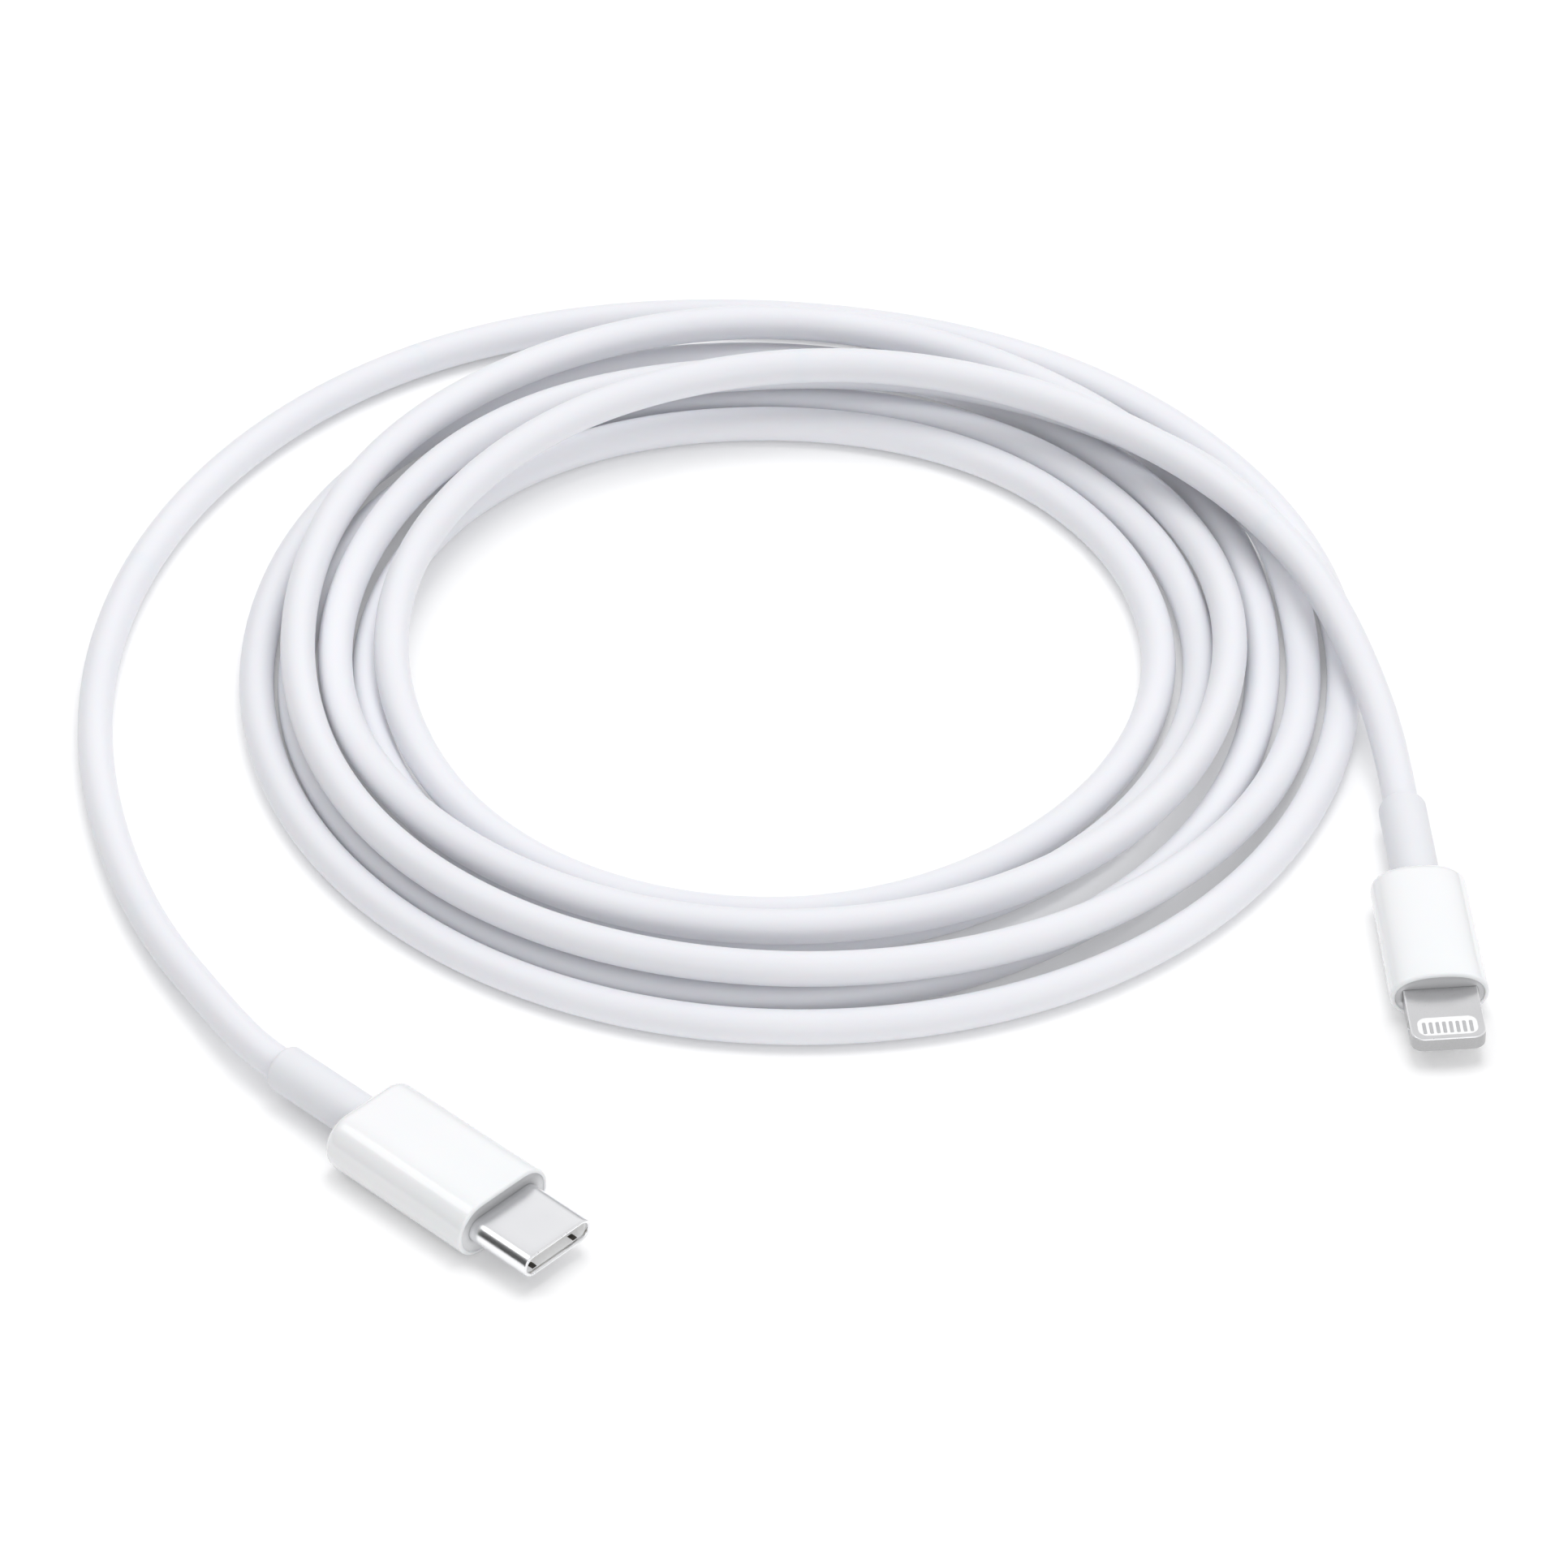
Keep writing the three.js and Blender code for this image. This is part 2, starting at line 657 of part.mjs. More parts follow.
function eightPinPlug() {
  const plug = new THREE.Group();
  const opening = rectangle(EIGHT_PIN.tabWidth + 2 * CLEARANCE, EIGHT_PIN.tabHeight + 2 * CLEARANCE);
  const { width, from, to, half, chipAt } = EIGHT_PIN_BOARD;
  plug.add(named("eight_pin_sleeve", sleeve(), MATERIAL.sleeve));
  plug.add(named("eight_pin_end_jacket", endJacket(), MATERIAL.jacket));
  plug.add(named("eight_pin_boot", boot(EIGHT_PIN), MATERIAL.boot));
  plug.add(named("eight_pin_inner_mould", innerMould(EIGHT_PIN, opening), MATERIAL.insulator));
  plug.add(named("eight_pin_shield_can", shieldCan(EIGHT_PIN, EIGHT_PIN_CAN_TO), MATERIAL.can));
  plug.add(named("eight_pin_board", board(width, from, to, 2 * half), MATERIAL.board));
  plug.add(named("eight_pin_identity_chip", chip(from + chipAt, half), MATERIAL.chip));
  addWires(plug, "eight_pin", from, half);
  plug.add(named("eight_pin_tab", tabFrame(), MATERIAL.steel));
  plug.add(named("eight_pin_insulator", tabInsulator(), MATERIAL.insulator));
  for (let i = 0; i < EIGHT_PIN.contacts; i += 1) {
    plug.add(named(`eight_pin_contact_top_${i + 1}`, contactPad(i, 1), MATERIAL.contact));
    plug.add(named(`eight_pin_contact_bottom_${i + 1}`, contactPad(i, -1), MATERIAL.contact));
  }
  return plug;
}

// ---------------------------------------------------------------- the whole cable

const cable = new THREE.Group();
const first = stations[0].angle;
const last = stations[lastStation].angle;

// A plug continues the cable: its rear lip is a joint's gap past the cable's own end.
function attach(plug, angle, reversed, axisHeight) {
  const end = cablePoint(angle);
  const heading = cableHeading(angle).multiplyScalar(reversed ? -1 : 1);
  const turn = Math.atan2(heading.y, heading.x);
  const x = end.x + JOINT_GAP * Math.cos(turn);
  const y = end.y + JOINT_GAP * Math.sin(turn);
  plug.position.set(x, y, axisHeight);
  plug.rotation.z = turn;
  cable.add(plug);
}

const swingGap = halfGap(SWING_ANGLE);
const liftGap = halfGap(LIFT_ANGLE);
const tailLiftGap = halfGap(TAIL_LIFT_ANGLE);
addCable(cable, "usb_c_lead", first, LIFT_ANGLE - liftGap, TAIL_STEP);
addCable(cable, "usb_c_tail", LIFT_ANGLE + liftGap, SWING_ANGLE - swingGap, TAIL_STEP);
addCable(cable, "coil", SWING_ANGLE + swingGap, TAIL_LIFT_ANGLE - tailLiftGap, COIL_STEP);
addCable(cable, "eight_pin_tail", TAIL_LIFT_ANGLE + tailLiftGap, last, TAIL_STEP);
const usb = usbPlug();
const eightPin = eightPinPlug();
attach(usb, first, true, USB_C.bootHeight / 2);
attach(eightPin, last, false, EIGHT_PIN.bootHeight / 2);

// The origin is the middle of the footprint, on the floor.
const footprint = new THREE.Box3().setFromObject(cable);
const origin = footprint.getCenter(new THREE.Vector3()).setZ(footprint.min.z);
cable.children.forEach((child) => child.position.sub(origin));

// The winding's centre, the joints' centres and the plugs' places in the part's frame, for whoever
// rigs the cable.
const inFrame = (point) => point.sub(origin);
const placeOf = (plug, front, tip) => ({ at: plug.position, turn: plug.rotation.z, front, tip });

cable.userData = {
  windingCentre: inFrame(new THREE.Vector3()),
  swing: { at: inFrame(cablePoint(SWING_ANGLE)), heading: cableHeading(SWING_ANGLE) },
  lift: { at: inFrame(cablePoint(LIFT_ANGLE)), heading: cableHeading(LIFT_ANGLE) },
  tailLift: { at: inFrame(cablePoint(TAIL_LIFT_ANGLE)), heading: cableHeading(TAIL_LIFT_ANGLE) },
  usbC: placeOf(usb, USB_C_FRONT, USB_C_TIP),
  eightPin: placeOf(eightPin, EIGHT_PIN_FRONT, EIGHT_PIN_TIP),
};

export default cable;
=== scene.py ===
# A white charging cable coiled flat on a pale floor, with a USB-C plug and a flat 8-contact plug.
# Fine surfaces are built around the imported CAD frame: the cable is swept again along the CAD cable's
# own centre line, and each plug is rebuilt inside its CAD solids' boxes.
import json
import math

import bmesh
import bpy
import numpy as np
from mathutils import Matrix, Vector


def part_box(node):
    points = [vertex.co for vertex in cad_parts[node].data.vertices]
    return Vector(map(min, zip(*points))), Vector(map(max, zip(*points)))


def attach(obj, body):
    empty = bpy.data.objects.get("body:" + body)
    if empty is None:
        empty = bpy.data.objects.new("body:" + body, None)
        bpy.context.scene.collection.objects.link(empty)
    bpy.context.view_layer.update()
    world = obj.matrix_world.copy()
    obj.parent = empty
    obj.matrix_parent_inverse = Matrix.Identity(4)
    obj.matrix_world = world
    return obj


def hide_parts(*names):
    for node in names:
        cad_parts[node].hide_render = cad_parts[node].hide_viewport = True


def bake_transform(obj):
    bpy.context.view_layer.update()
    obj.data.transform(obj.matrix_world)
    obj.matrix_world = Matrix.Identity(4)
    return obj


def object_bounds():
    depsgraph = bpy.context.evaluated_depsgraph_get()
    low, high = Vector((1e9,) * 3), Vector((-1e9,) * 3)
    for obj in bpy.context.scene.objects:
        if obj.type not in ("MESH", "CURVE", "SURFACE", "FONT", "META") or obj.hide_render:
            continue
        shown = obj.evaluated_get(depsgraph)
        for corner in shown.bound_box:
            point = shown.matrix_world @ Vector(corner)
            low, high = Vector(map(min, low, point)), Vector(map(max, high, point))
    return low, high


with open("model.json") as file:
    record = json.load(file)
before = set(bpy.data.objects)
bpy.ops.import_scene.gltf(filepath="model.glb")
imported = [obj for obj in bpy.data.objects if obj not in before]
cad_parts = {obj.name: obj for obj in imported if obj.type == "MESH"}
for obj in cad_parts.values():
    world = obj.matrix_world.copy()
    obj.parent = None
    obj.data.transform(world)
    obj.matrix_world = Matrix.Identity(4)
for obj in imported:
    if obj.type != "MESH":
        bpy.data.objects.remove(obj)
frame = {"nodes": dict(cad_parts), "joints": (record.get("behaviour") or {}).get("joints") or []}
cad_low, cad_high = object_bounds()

MM = 0.001
UP = Vector((0, 0, 1))

# ------------------------------------------------------------------ driving dimensions, in mm

CABLE_RADIUS = 1.6
CABLE_SIDES = 28
RING_SPACING = 1.3
CAD_RING_CORNERS = 14  # of one ring of the CAD jacket, 8 outside and 6 in its bore
SEAM_REACH = 15  # from a joint to the seam between two cable pieces, on the coil's side
BEND_REACH = 10.5  # from a joint along the cable; it scales a heading at the joint that nothing uses
PLUG_BEND_REACH = 3
SEARCH_REACH = 150  # how far along the cable a joint is looked for
CABLE_INSIDE_SLEEVE = 9

SLEEVE_LIP = 0.35
SLEEVE_CLEARANCE = 0.06
SLEEVE_IN_BOOT = 1.2  # how far the sleeve reaches into the grip
SLEEVE_BEHIND_BOOT = 0.4
SLEEVE_MIDDLE = 4.5
SLEEVE_MOUTH = [(0.12, 0.05), (0.3, 0)]  # how wide it flares at its mouth, outwards from the cable
SLEEVE_SIDES = 48
OUTLINE_CORNERS = 16  # segments of each half circle of an obround outline
OUTLINE_STRIPS = 6  # strips of each of its flats
OVAL_POWER = 2.35  # 2 is an ellipse, more is squarer
BOOT_REAR_ROUNDING = 1.35
BOOT_FRONT_ROUNDING = 0.28
BOOT_RIM = 0.14  # flat part of the front rim
BOOT_DRAFT = 0.98
BOOT_INNER_CHAMFER = 0.04
BOOT_WALL_DEPTH = 6
BOOT_WALL_TAPER = 0.05
BOOT_CAVITY_END = {"length": 0.5, "share": 0.6, "above_hole": 0.3}
BOOT_HOLE_LENGTH = 1.5
BOOT_HOLE_DISH = 0.1  # how far the rear face dips in towards the hole
BOOT_BITE = 0.42  # how deep the grip's rear hole is sunk into the sleeve
MOULD_RECESS = 0.15
MOULD_FILLET = 0.45  # width of the hollow that leads from the rim down to the mould's face
MOULD_DEPTH = 3
MOULD_OVERLAP = 0.03  # how far the mould reaches into the grip's wall
MOULD_EDGE_RECESS = 0.06  # how far its outer edge lies behind the rim
MOULD_GROOVE = {"width": 0.03, "depth": 0.02, "bite": 0.01}  # round the metal that it holds

LIP_SHADE = {"from": 2.6, "to": 4.4, "dark": 0.5}  # heights between which painted shade darkens the mouths' faces towards the top

SHELL_RIM_ROUNDING = 0.16
SHELL_FOLD = 0.36  # wall at the folded mouth
SHELL_WALL = 0.25
FOLD_LENGTH = 0.35
FOLD_TAPER = 0.1

LINER_WALL = 0.14
LINER_BACK = 0.03  # how far the liner stops behind the folded mouth
LINER_GAP = 0.03
LINER_EDGE = 0.03
LINER_CHAMFER = 0.1
SPRING_PAD = {"from": 1.15, "to": 0.42, "side": 2.5, "half_width": 0.27, "height": 0.07, "sunk": 0.02}
SPRING_END_SHARE = 0.35  # height of a spring's ends as a share of its middle
SPRING_ROUNDING = 0.02
SPRING_STEPS = 8

TAB_EDGE_ROUNDING = 0.16
EDGE_SLOPE = 0.35  # a tab face takes the edge's painted shade if its normal rises less than this
FLAT_SLOPE = 0.95  # and the rounding's painted highlight, between edge and flat, if less than this
TAB_CORNER = 1.15
TAB_NOTCH = {"back": 2.5, "radius": 0.75, "depth": 0.3, "half_height": 0.5, "slope": 0.07}
NOTCH_STEPS = 12
INSERT = {"proud": 0.012, "edge": 0.07, "edge_height": 0.05, "corner": 0.9}
PAD = {"half_width": 0.16, "corner": 0.12, "sunk": 0.1, "edge": 0.012, "proud": 0.03, "rounding": 0.03}

LENS_MM = 276.7
SENSOR_MM = 36
CAMERA_DISTANCE = 1.1
CAMERA_ELEVATION = 40.5
AIM = Vector((0.0008, 0.0001, 0))

FLOOR_HALF = 6  # in metres
FLOOR_GAP = 0.02
ROOM_STRENGTH = 0.95
CARD_DIRECTION = Vector((-0.93, -0.25, 0.27)).normalized()
CARD_EDGE = 0.76  # where the dark card fades out, as the cosine of the angle from its middle
CARD_CORE = 0.91  # where it is darkest
CARD_GREY = 0.1


# ------------------------------------------------------------------ materials


class Nodes:
    """A material's node tree, with short calls for the nodes that the materials share."""

    def __init__(self, name):
        self.material = bpy.data.materials.new(name)
        self.material.use_nodes = True
        self.tree = self.material.node_tree
        self.shader = self.tree.nodes["Principled BSDF"]
        self.coords = self.add("ShaderNodeTexCoord").outputs["Object"]

    def add(self, kind, **settings):
        node = self.tree.nodes.new(kind)
        for key, value in settings.items():
            setattr(node, key, value)
        return node

    def link(self, output, socket):
        self.tree.links.new(output, socket)

    def set(self, **values):
        for key, value in values.items():
            self.shader.inputs[key.replace("_", " ")].default_value = value

    def stretched(self, turn, scale):
        """Object coordinates turned to a plug's heading and scaled along its three directions."""
        mapping = self.add("ShaderNodeMapping", vector_type="TEXTURE")
        mapping.inputs["Rotation"].default_value = (0, 0, turn)
        mapping.inputs["Scale"].default_value = [1 / s for s in scale]
        self.link(self.coords, mapping.inputs["Vector"])
        return mapping.outputs["Vector"]

    def noise(self, scale, detail=3.0, vector=None, roughness=0.5):
        node = self.add("ShaderNodeTexNoise")
        node.inputs["Scale"].default_value = scale
        node.inputs["Detail"].default_value = detail
        node.inputs["Roughness"].default_value = roughness
        self.link(vector or self.coords, node.inputs["Vector"])
        return node.outputs["Fac"]

    def ramp(self, value, stops):
        node = self.add("ShaderNodeValToRGB")
        elements = node.color_ramp.elements
        while len(elements) < len(stops):
            elements.new(0.5)
        for element, (position, color) in zip(elements, stops):
            element.position = position
            element.color = (*color, 1)
        self.link(value, node.inputs["Fac"])
        return node.outputs["Color"]

    def span(self, value, low, high):
        node = self.add("ShaderNodeMapRange")
        node.inputs["To Min"].default_value = low
        node.inputs["To Max"].default_value = high
        self.link(value, node.inputs["Value"])
        return node.outputs["Result"]

    def color(self, value, stops):
        self.link(self.ramp(value, stops), self.shader.inputs["Base Color"])

    def roughness(self, value, low, high):
        self.link(self.span(value, low, high), self.shader.inputs["Roughness"])

    def bump(self, height, strength, distance):
        node = self.add("ShaderNodeBump")
        node.inputs["Strength"].default_value = strength
        node.inputs["Distance"].default_value = distance * MM
        self.link(height, node.inputs["Height"])
        self.link(node.outputs["Normal"], self.shader.inputs["Normal"])


def jacket_material():
    """Satin elastomer: a cool white skin with faint cloudiness and a very fine, even grain."""
    nodes = Nodes("cable_jacket_satin")
    cloud = nodes.noise(45, 2)
    nodes.color(cloud, [(0.3, (0.80, 0.808, 0.845)), (0.7, (0.825, 0.832, 0.865))])
    nodes.roughness(nodes.noise(260, 4), 0.36, 0.46)
    nodes.set(Specular_IOR_Level=0.4, Subsurface_Weight=0.12, Subsurface_Scale=0.0012)
    nodes.bump(nodes.noise(5200, 2), 0.12, 0.012)
    return nodes.material


def sleeve_material():
    """The strain relief: the same white, a little flatter and greyer than the jacket."""
    nodes = Nodes("sleeve_matt")
    cloud = nodes.noise(120, 2)
    nodes.color(cloud, [(0.3, (0.775, 0.782, 0.812)), (0.7, (0.795, 0.80, 0.83))])
    nodes.roughness(nodes.noise(900, 3), 0.48, 0.58)
    nodes.set(Specular_IOR_Level=0.35, Subsurface_Weight=0.1, Subsurface_Scale=0.001)
    nodes.bump(nodes.noise(6500, 2), 0.2, 0.012)
    return nodes.material


def boot_material():
    """Glossy moulded plastic: brilliant white with the slight waviness of a moulded skin."""
    nodes = Nodes("boot_gloss")
    cloud = nodes.noise(90, 1)
    nodes.color(cloud, [(0.3, (0.868, 0.874, 0.884)), (0.7, (0.882, 0.888, 0.897))])
    nodes.roughness(nodes.noise(700, 3), 0.13, 0.2)
    nodes.set(Specular_IOR_Level=0.5, Coat_Weight=0.5, Coat_Roughness=0.05)
    nodes.set(Subsurface_Weight=0.08, Subsurface_Scale=0.001)
    nodes.bump(nodes.noise(380, 1), 0.05, 0.02)
    return nodes.material


def mould_material():
    """The face inside a boot's mouth: the same plastic unpolished, coloured greyer than the grip as
    painted shade, darkest towards the metal and on top.
    """
    nodes = Nodes("mouth_face_painted_shade")
    # Painted shade: an occlusion node darkens the colour next to the metal and in the mouth's corners.
    corner = nodes.add("ShaderNodeAmbientOcclusion", samples=8)
    corner.inputs["Distance"].default_value = 1.4 * MM
    height = nodes.add("ShaderNodeSeparateXYZ")
    nodes.link(nodes.coords, height.inputs["Vector"])
    # Painted shade under the mouth's upper edge: the colour darkens with height.
    lip = nodes.add("ShaderNodeMapRange")
    nodes.link(height.outputs["Z"], lip.inputs["Value"])
    lip.inputs["From Min"].default_value = LIP_SHADE["from"] * MM
    lip.inputs["From Max"].default_value = LIP_SHADE["to"] * MM
    lip.inputs["To Min"].default_value = 1.0
    lip.inputs["To Max"].default_value = LIP_SHADE["dark"]
    shade = nodes.add("ShaderNodeMath", operation="MULTIPLY")
    nodes.link(corner.outputs["AO"], shade.inputs[0])
    nodes.link(lip.outputs["Result"], shade.inputs[1])
    # The colour runs from dark grey in the deepest painted shade to light grey where none is painted.
    nodes.color(shade.outputs["Value"], [(0.15, (0.28, 0.283, 0.29)), (0.7, (0.80, 0.804, 0.815))])
    grain = nodes.noise(2600, 3)
    nodes.roughness(grain, 0.42, 0.54)
    nodes.bump(grain, 0.08, 0.01)
    return nodes.material


def insulator_material():
    """Filled nylon around the metal: neutral white, dull, finely speckled."""
    nodes = Nodes("insulator_nylon")
    speck = nodes.noise(4200, 2)
    nodes.color(speck, [(0.35, (0.90, 0.903, 0.90)), (0.6, (0.935, 0.938, 0.936))])
    nodes.roughness(nodes.noise(1500, 3), 0.34, 0.46)
    nodes.bump(speck, 0.08, 0.01)
    return nodes.material


def shell_material(turn):
    """Drawn steel, satin polished: fine lines run along the shell from the drawing die."""
    nodes = Nodes("shell_steel")
    lines = nodes.noise(1, 4, nodes.stretched(turn, (350, 16000, 16000)), 0.6)
    cloud = nodes.noise(300, 2)
    nodes.color(cloud, [(0.3, (0.93, 0.935, 0.95)), (0.7, (0.955, 0.958, 0.97))])
    nodes.roughness(lines, 0.2, 0.3)
    nodes.set(Metallic=1.0)
    nodes.bump(lines, 0.03, 0.003)
    return nodes.material


def rim_highlight_material():
    """Steel painted bright: a highlight on the shell's folded mouth and the tab's rounded edges, kept
    light by making it less metallic.
    """
    nodes = Nodes("rim_painted_highlight")
    cloud = nodes.noise(2400, 3)
    nodes.color(cloud, [(0.3, (0.90, 0.905, 0.915)), (0.7, (0.94, 0.943, 0.95))])
    nodes.roughness(cloud, 0.24, 0.34)
    nodes.set(Metallic=0.7)
    nodes.bump(cloud, 0.03, 0.004)
    return nodes.material


def tab_material(turn):
    """Bead-blasted steel tab: an even grey with a fine sparkle, slightly smoother along its length."""
    nodes = Nodes("tab_steel")
    grain = nodes.noise(1, 5, nodes.stretched(turn, (5200, 9500, 9500)), 0.7)
    cloud = nodes.noise(260, 2)
    nodes.color(cloud, [(0.3, (0.755, 0.755, 0.76)), (0.7, (0.80, 0.80, 0.805))])
    nodes.roughness(grain, 0.24, 0.34)
    nodes.set(Metallic=1.0)
    nodes.bump(grain, 0.06, 0.005)
    return nodes.material


def tab_edge_shade_material():
    """The tab's edges: the same steel coloured darker, as painted shade on the faces that look sideways
    and forward.
    """
    nodes = Nodes("tab_edge_painted_shade")
    grain = nodes.noise(7000, 3)
    nodes.color(grain, [(0.3, (0.43, 0.43, 0.433)), (0.7, (0.47, 0.47, 0.473))])
    nodes.roughness(grain, 0.26, 0.36)
    nodes.set(Metallic=1.0)
    nodes.bump(grain, 0.05, 0.004)
    return nodes.material


def spring_material():
    """Spring steel: darker, rolled, with heat-treat staining."""
    nodes = Nodes("spring_steel")
    stain = nodes.noise(900, 4)
    nodes.color(stain, [(0.3, (0.42, 0.41, 0.39)), (0.7, (0.55, 0.545, 0.53))])
    nodes.roughness(nodes.noise(5000, 3), 0.28, 0.44)
    nodes.set(Metallic=1.0)
    nodes.bump(stain, 0.05, 0.005)
    return nodes.material


def spring_shade_material():
    """Grounding springs inside the mouth: coloured near black as painted shade, standing in for the dark
    windows that they sit in.
    """
    nodes = Nodes("ground_spring_painted_shade")
    stain = nodes.noise(2600, 3)
    nodes.color(stain, [(0.3, (0.045, 0.043, 0.038)), (0.7, (0.085, 0.08, 0.07))])
    nodes.roughness(stain, 0.45, 0.6)
    nodes.set(Metallic=0.6)
    nodes.bump(stain, 0.1, 0.006)
    return nodes.material


def pad_material():
    """Contact pads: palladium-nickel plate, pale grey and nearly matt, with polishing marks."""
    nodes = Nodes("contact_plate")
    marks = nodes.noise(3600, 4)
    nodes.color(marks, [(0.3, (0.60, 0.605, 0.615)), (0.7, (0.66, 0.663, 0.67))])
    nodes.roughness(marks, 0.32, 0.46)
    nodes.set(Metallic=0.75)
    nodes.bump(marks, 0.08, 0.005)
    return nodes.material


def beam_material():
    """Contact beams: gold-flashed copper alloy, brightest where it is rubbed."""
    nodes = Nodes("contact_beam_gold")
    wear = nodes.noise(1800, 4)
    nodes.color(wear, [(0.35, (0.74, 0.60, 0.34)), (0.65, (0.86, 0.77, 0.55))])
    nodes.roughness(wear, 0.2, 0.34)
    nodes.set(Metallic=1.0)
    nodes.bump(wear, 0.05, 0.004)
    return nodes.material


def can_material():
    """Tin-plated shield: bright, soft, with cloudy crystal patches."""
    nodes = Nodes("can_tin")
    cells = nodes.add("ShaderNodeTexVoronoi")
    cells.inputs["Scale"].default_value = 1300
    nodes.link(nodes.coords, cells.inputs["Vector"])
    patches = cells.outputs["Distance"]
    nodes.color(patches, [(0.1, (0.60, 0.605, 0.62)), (0.8, (0.72, 0.725, 0.73))])
    nodes.roughness(patches, 0.25, 0.42)
    nodes.set(Metallic=1.0)
    nodes.bump(nodes.noise(1800, 3), 0.08, 0.01)
    return nodes.material


def board_material():
    """Solder mask over copper: green, with the raised lines of the tracks under it."""
    nodes = Nodes("board_mask")
    tracks = nodes.add("ShaderNodeTexBrick")
    tracks.inputs["Scale"].default_value = 700
    tracks.inputs["Mortar Size"].default_value = 0.06
    tracks.inputs["Color1"].default_value = (0.03, 0.20, 0.10, 1)
    tracks.inputs["Color2"].default_value = (0.025, 0.17, 0.085, 1)
    tracks.inputs["Mortar"].default_value = (0.06, 0.30, 0.15, 1)
    nodes.link(nodes.coords, tracks.inputs["Vector"])
    nodes.link(tracks.outputs["Color"], nodes.shader.inputs["Base Color"])
    nodes.roughness(nodes.noise(900, 3), 0.25, 0.4)
    nodes.bump(tracks.outputs["Fac"], 0.15, 0.02)
    return nodes.material


def chip_material():
    """Moulding compound: near-black epoxy with a coarse, sandy skin."""
    nodes = Nodes("chip_epoxy")
    sand = nodes.noise(7000, 3)
    nodes.color(sand, [(0.3, (0.012, 0.012, 0.013)), (0.7, (0.026, 0.026, 0.028))])
    nodes.roughness(sand, 0.5, 0.7)
    nodes.bump(sand, 0.2, 0.01)
    return nodes.material


def braid_material():
    """Copper braid: two families of fine strands crossing each other."""
    nodes = Nodes("braid_copper")
    families = []
    for direction in ("X", "Y"):
        wave = nodes.add("ShaderNodeTexWave", wave_type="BANDS", bands_direction=direction)
        wave.inputs["Scale"].default_value = 900
        wave.inputs["Distortion"].default_value = 1.5
        nodes.link(nodes.coords, wave.inputs["Vector"])
        families.append(wave.outputs["Fac"])
    weave = nodes.add("ShaderNodeMath", operation="MAXIMUM")
    nodes.link(families[0], weave.inputs[0])
    nodes.link(families[1], weave.inputs[1])
    strands = weave.outputs["Value"]
    nodes.color(strands, [(0.3, (0.42, 0.20, 0.11)), (0.9, (0.80, 0.47, 0.30))])
    nodes.roughness(strands, 0.45, 0.28)
    nodes.set(Metallic=1.0)
    nodes.bump(strands, 0.4, 0.05)
    return nodes.material


def wire_material(name, color):
    """Wire insulation: glossy extruded plastic with slight colour drift along it."""
    nodes = Nodes(f"wire_{name}")
    pale = [min(1, c * 1.25 + 0.01) for c in color]
    nodes.color(nodes.noise(500, 2), [(0.3, color), (0.7, pale)])
    nodes.roughness(nodes.noise(1200, 3), 0.3, 0.42)
    nodes.bump(nodes.noise(3000, 2), 0.1, 0.01)
    return nodes.material


def floor_material():
    """A seamless white studio sweep, lifted a little so that it stays clean white."""
    nodes = Nodes("floor_white")
    cloud = nodes.noise(3, 2)
    nodes.color(cloud, [(0.3, (0.90, 0.90, 0.90)), (0.7, (0.905, 0.905, 0.905))])
    nodes.set(Roughness=0.95, Specular_IOR_Level=0.1)
    nodes.set(Emission_Color=(1, 1, 1, 1), Emission_Strength=0.1)
    return nodes.material


# ------------------------------------------------------------------ mesh helpers


def finish_piece(name, bm, material, body=None, node=()):
    """Turns a bmesh into a smooth-shaded piece whose marked edges stay sharp."""
    bmesh.ops.recalc_face_normals(bm, faces=bm.faces)
    mesh = bpy.data.meshes.new(name)
    bm.to_mesh(mesh)
    bm.free()
    mesh.materials.append(material)
    piece = bpy.data.objects.new(name, mesh)
    bpy.context.scene.collection.objects.link(piece)
    if body:
        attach(piece, body)
    if node:
        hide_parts(*node)
    return piece


def loft(loops, closed=False, sharp=()):
    """A skin over loops of points. Closed joins the last loop to the first, else both ends are capped."""
    bm = bmesh.new()
    rows = [[bm.verts.new(p) for p in loop] for loop in loops]
    count = len(rows[0])
    pairs = list(zip(rows, rows[1:]))
    if closed:
        pairs.append((rows[-1], rows[0]))
    for a, b in pairs:
        for i in range(count):
            j = (i + 1) % count
            bm.faces.new((a[i], a[j], b[j], b[i])).smooth = True
    if not closed:
        for row in (rows[0], rows[-1]):
            bm.faces.new(row).smooth = False
            for i in range(count):
                bm.edges.get((row[i], row[(i + 1) % count])).smooth = False
    for index in sharp:
        row = rows[index]
        for i in range(count):
            bm.edges.get((row[i], row[(i + 1) % count])).smooth = False
    return bm


def obround(half_width, half_height, corner=None):
    """Points of an obround outline, as (left, up), anticlockwise, with its flats cut into strips.

    A corner radius makes it a rounded rectangle with just as many points.
    """
    radius = corner or min(half_width, half_height)
    reach = max(half_width - radius, 1e-5)
    rise = half_height - radius if corner else 0
    points = []
    for side in (1, -1):
        for i in range(OUTLINE_CORNERS + 1):
            angle = math.radians(-90 * side) + math.pi * i / OUTLINE_CORNERS
            shift = side * (rise if i > OUTLINE_CORNERS / 2 else -rise)
            points.append((side * reach + radius * math.cos(angle), shift + radius * math.sin(angle)))
        top = side * (radius + rise)
        for i in range(1, OUTLINE_STRIPS):
            points.append((side * reach * (1 - 2 * i / OUTLINE_STRIPS), top))
    return points


def oval(half_width, half_height):
    """The points of an obround drawn in on to an oval of the same width and height."""
    points = []
    for y, z in obround(half_width, half_height):
        size = abs(y / half_width) ** OVAL_POWER + abs(z / half_height) ** OVAL_POWER
        shrink = size ** (-1 / OVAL_POWER)
        points.append((y * shrink, z * shrink))
    return points


